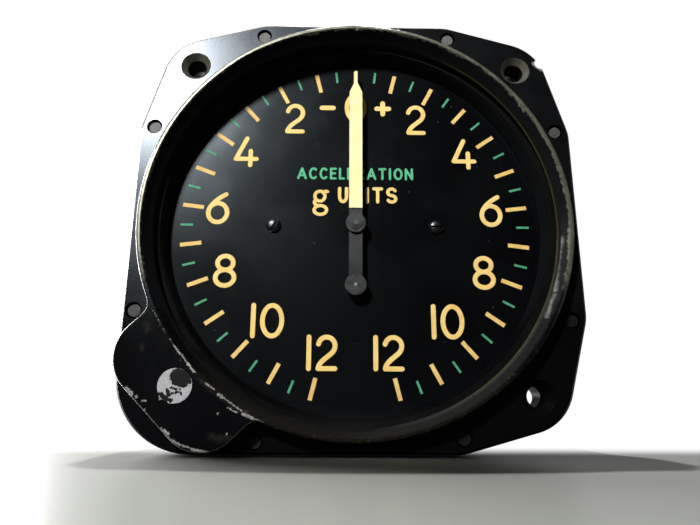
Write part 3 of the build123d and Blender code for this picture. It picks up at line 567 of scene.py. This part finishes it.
brass = metal_material("brass", (0.72, 0.52, 0.24), (0.48, 0.33, 0.14), 0.22, 0.38)
steel = metal_material("steel", (0.56, 0.56, 0.57), (0.42, 0.41, 0.40), 0.2, 0.36)
spring_steel = metal_material("spring_steel", (0.22, 0.25, 0.34), (0.14, 0.15, 0.2), 0.22, 0.34)
plate_metal = metal_material("plate_aluminium", (0.72, 0.72, 0.72), (0.58, 0.58, 0.57), 0.3, 0.48,
                             squeeze=(10, 1, 1), grain=1.2)
screw_metal = metal_material("dull_screw_steel", (0.22, 0.215, 0.205), (0.13, 0.125, 0.115),
                             0.45, 0.65, squeeze=(1, 1, 6), grain=0.4)
finish(brass, "dial_posts", "plate_pillars", "staff_bearings", "staff_bridge",
       "hairspring_collet", "hairspring_stud", "arbor_bearings", "sector_gear", "inertia_mass")
finish(steel, "travel_stops", "lever_arbor", "mass_lever", "spring_pin", "spring_posts")
finish(spring_steel, "hairspring", "upper_spring", "lower_spring")
finish(plate_metal, "front_plate", "back_plate")
finish(screw_metal, "movement_screws", "back_plate_screws", "bridge_screws", "mass_screws")
print("metals done")

# %% [markdown]
# ## Ends of the case screws
# Eight screws come through the flange from behind, and their ends show in its holes. The upper ones
# are dull metal and the lower right ones lie under black enamel. Between them the material goes from
# metal to black along a slanted line, and that fall-off away from the light is painted shade.

# %% Screw ends
lit_metal_above = 34.0
shade_black_below = -20.0
border_slope = 0.3
border_spread = 16.0


def screw_end_material():
    """Dull metal at the upper left that gives way to black at the lower right, with painted shade
    between.
    """
    material, tree, shader = new_material("case_screw_metal", (0.2, 0.2, 0.19), 0.6)
    where = place(tree)
    # Painted shade: the share of metal falls along a slanted line toward the lower right, away from the
    # light, down to black.
    height = calc(tree, "SUBTRACT", axis(tree, where, "Z"),
                  times(tree, axis(tree, where, "X"), border_slope))
    grain = calc(tree, "SUBTRACT", noise(tree, where, 0.5, 5.0, 0.7), 0.5)
    bare = step(tree, calc(tree, "ADD", height, times(tree, grain, border_spread)),
                shade_black_below, lit_metal_above)
    bare = either(tree, bare, step(tree, axis(tree, where, "Y"), 6.0, 8.0))
    tone = blend_colors(tree, step(tree, grain, -0.2, 0.2), (0.06, 0.059, 0.057),
                        (0.145, 0.141, 0.137))
    feed(tree, shader, Base_Color=blend_colors(tree, bare, paint_black, tone),
         Metallic=times(tree, bare, 0.25),
         Roughness=step(tree, bare, 0.0, 1.0, 0.4, 0.68), Normal=bump(tree, grain, 0.02))
    return material


finish(screw_end_material(), "case_screws")
print("screw ends done")

# %% [markdown]
# ## The dial's black and its dust
# Dial black has only a soft sheen, so that it doesn't mirror the pilot. After decades a few specks of
# dust lie on it under the glass. A Voronoi pattern gives every cell one dot, and a second value picks
# only a few of the cells, so the specks are rare and uneven.

# %% Dial material
speck_spacing = 1.5
dust_grey = (0.42, 0.42, 0.4)


def dial_material():
    """Deep black with a soft sheen and a few specks of dust."""
    material, tree, shader = new_material("dial_black", (0.012, 0.012, 0.013), 0.5,
                                          Specular_Tint=cool_shine, Specular_IOR_Level=0.55)
    where = place(tree)
    cells = add_node(tree, "TexVoronoi", {"Vector": where, "Scale": 1 / speck_spacing,
                                          "Randomness": 1.0})
    chosen = add_node(tree, "SeparateColor", {0: cells.outputs["Color"]}).outputs
    size = step(tree, chosen["Green"], 0.0, 1.0, 0.02, 0.055)
    speck = calc(tree, "LESS_THAN", cells.outputs["Distance"], size)
    rare = calc(tree, "GREATER_THAN", chosen["Red"], 0.82)
    dust = both(tree, speck, rare)
    tone = step(tree, noise(tree, where, 14.0, 3.0), 0.3, 0.7)
    black = blend_colors(tree, tone, (0.0010, 0.0010, 0.0013), (0.0017, 0.0017, 0.0022))
    feed(tree, shader,
         Base_Color=blend_colors(tree, times(tree, dust, 0.55), black, dust_grey),
         Roughness=step(tree, tone, 0.0, 1.0, 0.20, 0.23),
         Normal=bump(tree, noise(tree, where, 0.25, 3.0), 0.008))
    return material


finish(dial_material(), "dial")
print("dial done")

# %% [markdown]
# ## Luminous and green paint
# The figures are luminous paint laid on thick. It was cream once and has aged to straw, browner where
# it is thin. The small marks and the word above the scale's unit are green, which didn't glow.

# %% Dial paints
def aged_paint(name, fresh, aged, blot, rough=0.7):
    """Thick chalky paint with a grainy surface and stains of its aged tone."""
    material, tree, shader = new_material(name, fresh, rough)
    where = place(tree)
    stain = step(tree, noise(tree, where, blot, 6.0, 0.65), 0.35, 0.7)
    grain = noise(tree, where, 0.16, 3.0, 0.6)
    feed(tree, shader, Base_Color=blend_colors(tree, stain, fresh, aged),
         Roughness=step(tree, grain, 0.3, 0.7, rough - 0.08, rough + 0.08),
         Normal=bump(tree, grain, 0.02))
    return material


lume = aged_paint("aged_lume", (0.95, 0.67, 0.23), (0.87, 0.55, 0.16), 2.2)
mark_lume = aged_paint("aged_lume_marks", (0.90, 0.61, 0.20), (0.78, 0.44, 0.12), 1.6)
pointer_lume = aged_paint("pointer_lume", (0.97, 0.89, 0.49), (0.94, 0.81, 0.37), 3.0)
green = aged_paint("dial_green", (0.10, 0.50, 0.26), (0.07, 0.40, 0.20), 2.0)
mark_green = aged_paint("dial_green_marks", (0.07, 0.38, 0.20), (0.04, 0.27, 0.13), 1.2)
finish(mark_lume, "major_graduations")
finish(pointer_lume, "pointer_lume")
finish(mark_green, "minor_graduations")
print("paints done")

# %% [markdown]
# ## Figures as painted strokes
# The dial's figures were drawn with a round-ended tool along plain lines and arcs, so no font has
# quite their shape. Each figure is a few paths in a box one wide and one high, and a path becomes a low
# rounded ridge with round ends, which catches the light at its edges as thick paint does.

# %% Paths of the figures
def bow(centre, radii, start, end, steps=28):
    """Points along part of an ellipse, with angles in degrees from the right."""
    angles = [math.radians(start + (end - start) * index / steps) for index in range(steps + 1)]
    return [(centre[0] + radii[0] * math.cos(angle), centre[1] + radii[1] * math.sin(angle))
            for angle in angles]


def curve(first, pull_first, pull_last, last, steps=12):
    """Points along a cubic curve between two points."""
    points = []
    for index in range(steps + 1):
        t = index / steps
        weights = ((1 - t) ** 3, 3 * t * (1 - t) ** 2, 3 * t * t * (1 - t), t ** 3)
        corners = (first, pull_first, pull_last, last)
        points.append(tuple(sum(weight * corner[side] for weight, corner in zip(weights, corners))
                            for side in (0, 1)))
    return points


figures = {
    "0": [bow((0.5, 0.5), (0.5, 0.5), 90, 450)],
    "1": [[(0.5, 0), (0.5, 1)]],
    "2": [bow((0.5, 0.72), (0.5, 0.28), 168, -30)
          + curve((0.92, 0.57), (0.8, 0.42), (0.06, 0.26), (0, 0)), [(0, 0), (1, 0)]],
    "4": [[(0.51, 1), (0, 0.23)], [(0, 0.23), (1, 0.23)], [(0.71, 0.53), (0.71, 0)]],
    "6": [bow((0.5, 0.34), (0.5, 0.34), 90, 450),
          curve((0.9, 1), (0.5, 0.86), (0.02, 0.62), (0, 0.34))],
    "8": [bow((0.5, 0.765), (0.42, 0.235), 90, 450), bow((0.5, 0.265), (0.5, 0.265), 90, 450)],
    "+": [[(0, 0.5), (1, 0.5)], [(0.5, 0), (0.5, 1)]],
    "-": [[(0, 0.5), (1, 0.5)]],
    "A": [[(0, 0), (0.5, 1)], [(0.5, 1), (1, 0)], [(0.2, 0.3), (0.8, 0.3)]],
    "C": [bow((0.55, 0.5), (0.55, 0.5), 48, 312)],
    "E": [[(1, 1), (0, 1)], [(0, 1), (0, 0)], [(0, 0), (1, 0)], [(0, 0.52), (0.85, 0.52)]],
    "I": [[(0.5, 0), (0.5, 1)]],
    "L": [[(0, 1), (0, 0)], [(0, 0), (1, 0)]],
    "N": [[(0, 0), (0, 1)], [(0, 1), (1, 0)], [(1, 0), (1, 1)]],
    "O": [bow((0.5, 0.5), (0.5, 0.5), 90, 450)],
    "R": [[(0, 0), (0, 1)], [(0, 1)] + bow((0.55, 0.76), (0.42, 0.24), 90, -90) + [(0, 0.52)],
          [(0.5, 0.52), (1, 0)]],
    "S": [bow((0.5, 0.745), (0.47, 0.255), 28, 270) + bow((0.5, 0.245), (0.5, 0.245), 88, -152)],
    "T": [[(0, 1), (1, 1)], [(0.5, 1), (0.5, 0)]],
    "U": [[(0, 1), (0, 0.42)] + bow((0.5, 0.42), (0.5, 0.42), 182, 358) + [(1, 0.42), (1, 1)]],
    "g": [bow((0.43, 0.77), (0.39, 0.21), 90, 450),
          curve((0.7, 0.9), (0.78, 1.0), (0.88, 0.99), (1, 0.96)),
          curve((0.16, 0.62), (-0.06, 0.52), (-0.02, 0.4), (0.3, 0.37)),
          bow((0.48, 0.185), (0.48, 0.185), 90, 450)],
}
print("figures drawn:", len(figures))

# %% [markdown]
# A ridge is a row of small cross-sections along the path, joined by faces. At an open end the sections
# shrink along a quarter circle, which rounds the stroke. Where two strokes of one figure cross, the
# later one lies a hair higher, so that no two faces share a place.

# %% Ridges of paint
dial_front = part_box("dial")[0].y / MM
paint_sunk = 0.02
ridge_section = [(-1, 0.0), (-1, 0.8), (-0.9, 1.0), (0.9, 1.0), (1, 0.8), (1, 0.0)]
cap_angles = (12, 35, 60, 90)
overlap_rise = 0.008
closing_gap = 0.001


def ridge(mesh, points, width, thickness):
    """Add a painted stroke along points on the dial, in millimetres, to a bmesh."""
    points = [Vector(point) for point in points]
    closed = (points[0] - points[-1]).length < closing_gap
    if closed:
        points = points[:-1]
    stations = []
    for index, point in enumerate(points):
        before = points[index - 1] if index or closed else point
        after = points[(index + 1) % len(points)] if index < len(points) - 1 or closed else point
        stations.append((point, (after - before).normalized(), 1.0))
    if not closed:
        first, last = stations[0], stations[-1]
        head, tail = [], []
        for angle in cap_angles[:-1]:
            share = math.sin(math.radians(angle))
            reach = math.cos(math.radians(angle)) * width / 2
            head.append((first[0] - first[1] * reach, first[1], share))
            tail.insert(0, (last[0] + last[1] * reach, last[1], share))
        stations = head + stations + tail
    rings = []
    for point, direction, share in stations:
        side = Vector((-direction.y, direction.x)) * width / 2 * share
        ring = []
        for across, rise in ridge_section:
            spot = point + side * across
            depth = dial_front + paint_sunk - (thickness + paint_sunk) * rise
            ring.append(mesh.verts.new((spot.x * MM, depth * MM, spot.y * MM)))
        rings.append(ring)
    pairs = list(zip(rings, rings[1:])) + ([(rings[-1], rings[0])] if closed else [])
    count = len(ridge_section)
    for one, two in pairs:
        for k in range(count):
            mesh.faces.new((one[k], one[(k + 1) % count], two[(k + 1) % count], two[k]))
    if not closed:
        mesh.faces.new(rings[0][::-1])
        mesh.faces.new(rings[-1])


def draw_figure(mesh, figure, left, right, bottom, top, width, thickness):
    """Draw one figure so that its painted outline fills a box on the dial."""
    inset = width / 2
    wide, high = right - left - width, top - bottom - width
    for index, path in enumerate(figures[figure]):
        points = [(left + inset + x * wide, bottom + inset + z * high) for x, z in path]
        ridge(mesh, points, width, thickness + index * overlap_rise)


def painted_piece(name, mesh, material, crease=18):
    """Turn a bmesh into a piece on the housing, with sharp edges above the crease angle."""
    bmesh.ops.recalc_face_normals(mesh, faces=mesh.faces)
    data = bpy.data.meshes.new(name)
    mesh.to_mesh(data)
    mesh.free()
    for face in data.polygons:
        face.use_smooth = True
    data.set_sharp_from_angle(angle=math.radians(crease))
    data.materials.append(material)
    piece = bpy.data.objects.new(name, data)
    bpy.context.scene.collection.objects.link(piece)
    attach(piece, "housing")
    print(name, "faces:", len(data.polygons))
    return piece


print("dial's front at", round(dial_front, 2), "mm")

# %% [markdown]
# ## The scale's numbers
# Plus numbers run down the right and minus numbers down the left, with the zero hidden behind the
# resting pointer. They aren't set on a circle but by eye, so each pair has its own place.

# %% Numbers of the scale
number_height = 6.5
number_stroke = 0.88
number_thickness = 0.07
digit_gap = 0.75
sign_stroke = 1.0
zero_bottom = 21.75
digit_widths = {"0": 4.4, "1": 1.0, "2": 3.9, "4": 4.9, "6": 4.45, "8": 4.35}
number_places = [
    ("2", -14.0, 10.1, 19.2), ("4", -23.85, 18.9, 11.9), ("6", -28.5, 23.85, 0.15),
    ("8", -26.4, 21.9, -12.1), ("10", -19.1, 13.85, -21.35), ("12", -8.85, 3.2, -27.1),
]

numbers = bmesh.new()


def draw_number(digits, left, bottom):
    """Draw the digits of one number from its left edge."""
    for digit in digits:
        right = left + digit_widths[digit]
        draw_figure(numbers, digit, left, right, bottom, bottom + number_height, number_stroke,
                    number_thickness)
        left = right + digit_gap


for digits, minus_left, plus_left, bottom in number_places:
    draw_number(digits, minus_left, bottom)
    draw_number(digits, plus_left, bottom)
draw_number("0", -digit_widths["0"] / 2, zero_bottom)
draw_figure(numbers, "-", -7.25, -4.0, 24.4, 25.4, sign_stroke, number_thickness)
draw_figure(numbers, "+", 3.75, 7.15, 23.15, 26.55, sign_stroke, number_thickness)
painted_piece("scale_numbers", numbers, lume)

# %% [markdown]
# ## The legend
# Two lines say what the dial shows. The letters are narrow and evenly spaced, so a word is set by
# its two ends: the letters' widths follow from their height, and the gaps share what is left.

# %% Legend
letter_widths = {"A": 0.76, "C": 0.66, "E": 0.54, "L": 0.48, "R": 0.68, "T": 0.64, "I": 0.24,
                 "O": 0.72, "N": 0.66, "U": 0.60, "S": 0.66}
letter_thickness = 0.08
word_stroke = 0.46
unit_stroke = 0.66


def draw_word(mesh, word, left, right, bottom, top, stroke):
    """Draw a word between two ends, with even gaps."""
    widths = [letter_widths[letter] * (top - bottom) for letter in word]
    gap = (right - left - sum(widths)) / (len(word) - 1)
    for letter, width in zip(word, widths):
        draw_figure(mesh, letter, left, left + width, bottom, top, stroke, letter_thickness)
        left += width + gap


green_word = bmesh.new()
draw_word(green_word, "ACCELERATION", -11.35, 11.25, 9.5, 12.0, word_stroke)
painted_piece("legend_word", green_word, green)

unit_word = bmesh.new()
draw_word(unit_word, "UNITS", -3.4, 8.1, 4.65, 8.0, unit_stroke)
draw_figure(unit_word, "g", -8.25, -5.1, 2.0, 7.5, unit_stroke, letter_thickness)
painted_piece("legend_unit", unit_word, lume)

# %% [markdown]
# ## Screws, hub and counterweight in view
# The dial's screws have domed heads of blackened steel, which need a rounder form than the plain heads
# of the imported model, so turned ones with a slot replace them. The hub and the counterweight keep
# their shapes, and get a dark finish with a bright spot where metal shows.

# %% Turned and slotted screw heads
blackened = metal_material("blackened_steel", (0.055, 0.055, 0.06), (0.03, 0.03, 0.032),
                           0.28, 0.42)
screw_low, screw_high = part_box("dial_screws")
head_radius = 1.4
head_front = screw_low.y / MM
shank_radius = 0.9
shank_end = screw_high.y / MM
screw_x = screw_high.x / MM - head_radius
dome_steps = 7
dome_start = 8
head_side = 0.12
slot_size = (4 * head_radius, 0.9, 0.36)
screw_crease = 30


def turned(mesh, profile, x, z, steps=48):
    """Turn a profile of (radius, depth) points about an axis at x, z and close it at both ends."""
    rings = []
    for radius, depth in profile:
        ring = []
        for index in range(steps):
            angle = 2 * math.pi * index / steps
            spot = (x + radius * math.cos(angle), depth, z + radius * math.sin(angle))
            ring.append(mesh.verts.new(Vector(spot) * MM))
        rings.append(ring)
    for one, two in zip(rings, rings[1:]):
        for k in range(steps):
            mesh.faces.new((one[k], one[(k + 1) % steps], two[(k + 1) % steps], two[k]))
    mesh.faces.new(rings[0])
    mesh.faces.new(rings[-1][::-1])


def slotted_screw(name, x, slot_angle):
    """A domed screw with a slot across its head."""
    head = dial_front - head_front
    dome = []
    for index in range(dome_steps + 1):
        angle = math.radians(dome_start + (90 - dome_start) * index / dome_steps)
        rise = head_side + (head - head_side) * math.cos(angle)
        dome.append((head_radius * math.sin(angle), dial_front - rise))
    profile = dome + [(head_radius, dial_front), (shank_radius, dial_front),
                      (shank_radius, shank_end)]
    mesh = bmesh.new()
    turned(mesh, profile, x, 0)
    piece = painted_piece(name, mesh, blackened)
    cutter_mesh = bmesh.new()
    bmesh.ops.create_cube(cutter_mesh, size=1)
    cutter_data = bpy.data.meshes.new(name + "_slot")
    cutter_mesh.to_mesh(cutter_data)
    cutter_mesh.free()
    cutter = bpy.data.objects.new(name + "_slot", cutter_data)
    bpy.context.scene.collection.objects.link(cutter)
    cutter.scale = Vector(slot_size) * MM
    cutter.location = Vector((x, head_front, 0)) * MM
    cutter.rotation_euler = (0, -math.radians(slot_angle), 0)
    cut = piece.modifiers.new("slot", "BOOLEAN")
    cut.operation = "DIFFERENCE"
    cut.object = cutter
    bpy.context.view_layer.update()
    evaluated = piece.evaluated_get(bpy.context.evaluated_depsgraph_get())
    shaped = bpy.data.meshes.new_from_object(evaluated)
    piece.modifiers.clear()
    piece.data = shaped
    bpy.data.objects.remove(cutter)
    piece.data.set_sharp_from_angle(angle=math.radians(screw_crease))
    return piece


left_screw = slotted_screw("dial_screw_left", -screw_x, 60)
right_screw = slotted_screw("dial_screw_right", screw_x, 0)
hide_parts("dial_screws")
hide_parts("dial_screws")

# %% [markdown]
# The hub and the counterweight share one dark finish. A stroke that is only a dot makes the bright
# spot: the rivet of the counterweight, and the end of the staff in the middle of the hub.

# %% Hub, counterweight and staff end
def dark_with_spot(name, x, z, spot_radius, spot_color):
    """Blackened metal with a lighter round spot, such as a rivet or a shaft's end."""
    material, tree, shader = new_material(name, (0.022, 0.023, 0.025), 0.38)
    where = place(tree)
    spot = patches(tree, where, [(x, z, x, z, spot_radius)], 0.05, 0.5, 0.03)
    tone = step(tree, noise(tree, where, 1.2, 5.0), 0.3, 0.7)
    dark = blend_colors(tree, tone, (0.018, 0.018, 0.02), (0.034, 0.034, 0.036))
    feed(tree, shader, Base_Color=blend_colors(tree, spot, dark, spot_color),
         Roughness=step(tree, tone, 0.0, 1.0, 0.34, 0.46),
         Metallic=times(tree, spot, 0.6),
         Normal=bump(tree, noise(tree, where, 0.2, 3.0), 0.008))
    return material


weight_low, weight_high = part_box("pointer_counterweight")
weight_z = (weight_low.z + weight_high.z) / 2 / MM
finish(dark_with_spot("counterweight_black", 0, weight_z, 0.33, (0.25, 0.25, 0.25)),
       "pointer_counterweight")
finish(dark_with_spot("hub_black", 0, 0, 0.1, (0.03, 0.03, 0.03)), "pointer_hub")
finish(dark_with_spot("staff_end", 0, 0, 0.34, (0.12, 0.12, 0.12)), "pinion_staff")
print("counterweight at", round(weight_z, 2))

# %% [markdown]
# ## The glass
# Real glass bends what is behind it and hides a little light. Bending needs many light paths and moves
# the dial by almost nothing, so this glass lets light straight through and only adds the mirror that
# its outer faces make, stronger where they are seen at a slant. Faces seen from inside add nothing,
# because they would mirror everything at a slant and hide the dial.

# %% Glass material
def glass_material():
    """Clear flat glass: straight through, with a mirror that grows at a slant."""
    material = bpy.data.materials.new("clear_glass")
    material.use_nodes = True
    tree = material.node_tree
    tree.nodes.clear()
    clear = add_node(tree, "BsdfTransparent", {"Color": (0.97, 0.98, 0.975, 1)})
    where = place(tree)
    smear = step(tree, noise(tree, where, 7.0, 5.0, 0.6), 0.4, 0.75, 0.015, 0.04)
    mirror = add_node(tree, "BsdfGlossy", {"Color": (1, 1, 1, 1), "Roughness": smear})
    slant = add_node(tree, "Fresnel", {"IOR": 1.45})
    inside = add_node(tree, "NewGeometry").outputs["Backfacing"]
    share = times(tree, slant.outputs[0], calc(tree, "SUBTRACT", 1.0, inside))
    blend = add_node(tree, "MixShader", {0: share, 1: clear.outputs[0], 2: mirror.outputs[0]})
    add_node(tree, "OutputMaterial", {"Surface": blend.outputs[0]})
    return material


finish(glass_material(), "cover_glass")
print("glass done")

# %% [markdown]
# ## Floor, backdrop and light
# The meter stands on a pale, slightly glossy shelf in front of a blown-out white background. The shelf
# is one large plane whose colour turns from grey-green to white just behind the flange. To rays that
# are not the camera's it is darker, so that it throws little light up at the black paint.

# %% Floor
floor_level = cad_box[0][2]
floor_side = 4.0
bpy.ops.mesh.primitive_plane_add(size=floor_side, location=(0, 0, floor_level))
floor = bpy.context.object
floor.name = "shelf"
shelf_color = (0.37, 0.38, 0.35)
shelf_bounce = (0.12, 0.12, 0.12)
backdrop_white = (0.9, 0.9, 0.9)
white_start = 0.0
white_end = 20.0


def shelf_material():
    """Pale enamelled shelf that turns white behind the meter."""
    material, tree, shader = new_material("shelf_paint", shelf_color, 0.3)
    where = place(tree)
    behind = step(tree, axis(tree, where, "Y"), white_start, white_end)
    seen = add_node(tree, "LightPath").outputs["Is Camera Ray"]
    near = blend_colors(tree, seen, shelf_bounce, shelf_color)
    feed(tree, shader, Base_Color=blend_colors(tree, behind, near, backdrop_white),
         Normal=bump(tree, noise(tree, where, 3.0, 3.0), 0.02))
    glow = add_node(tree, "Emission", {"Color": (1, 1, 1, 1), "Strength": 1.0})
    share = both(tree, behind, seen)
    blend = add_node(tree, "MixShader", {0: share, 1: shader.outputs[0], 2: glow.outputs[0]})
    tree.links.new(blend.outputs[0], tree.nodes["Material Output"].inputs["Surface"])
    return material


floor.data.materials.append(shelf_material())
print("floor at", round(floor_level / MM, 2), "mm")

# %% [markdown]
# The world is white to the camera and plain soft light to everything else, brighter behind the meter
# than before it. Four square lamps do the rest. The key lamp stands high at the left and in front: it
# lights the dial, throws the bezel's shadow across it and gives the flange's upper left corner its pale
# sheen. The fill lamp at the right picks out the worn edges. The top and side lamps stand behind the
# front of the meter: they light the shelf and throw the meter's shadow on it. Light linking keeps the
# key and fill lamps off the shelf.

# %% World and lamps
dim_world = 0.006
bright_world = 0.24
world = bpy.data.worlds.new("studio")
bpy.context.scene.world = world
world.use_nodes = True
sky = world.node_tree
sky.nodes.clear()
direction = add_node(sky, "TexCoord").outputs["Generated"]
back_light = step(sky, axis(sky, direction, "Y"), -0.05, 0.6, dim_world, bright_world)
to_camera = add_node(sky, "LightPath").outputs["Is Camera Ray"]
level = add_node(sky, "Mix", {0: to_camera, 2: back_light, 3: 1.0},
                 data_type="FLOAT").outputs[0]
light = add_node(sky, "Background", {"Color": (1, 1, 1, 1), "Strength": level})
add_node(sky, "OutputWorld", {"Surface": light.outputs[0]})


def soft_lamp(name, direction, distance, size, power):
    """A square lamp at a distance in metres that looks at the dial."""
    data = bpy.data.lights.new(name, "AREA")
    data.size = size
    data.energy = power
    lamp = bpy.data.objects.new(name, data)
    lamp.location = Vector(direction).normalized() * distance
    lamp.rotation_euler = (-lamp.location).to_track_quat("-Z", "Y").to_euler()
    bpy.context.scene.collection.objects.link(lamp)
    return lamp


key_lamp = soft_lamp("key_lamp", (-0.396, -0.730, 0.556), 0.5, 0.06, 4.2)
fill_lamp = soft_lamp("fill_lamp", (1.0, -0.3, 0.1), 0.6, 0.3, 0.12)
soft_lamp("top_lamp", (-0.06, 0.25, 1.0), 0.7, 0.02, 4.5)
soft_lamp("side_lamp", (-1.0, 0.75, 0.25), 0.4, 0.25, 5.4)
off_shelf = bpy.data.collections.new("not_the_shelf")
off_shelf.objects.link(floor)
off_shelf.collection_objects[0].light_linking.link_state = "EXCLUDE"
for lamp in (key_lamp, fill_lamp):
    lamp.light_linking.receiver_collection = off_shelf
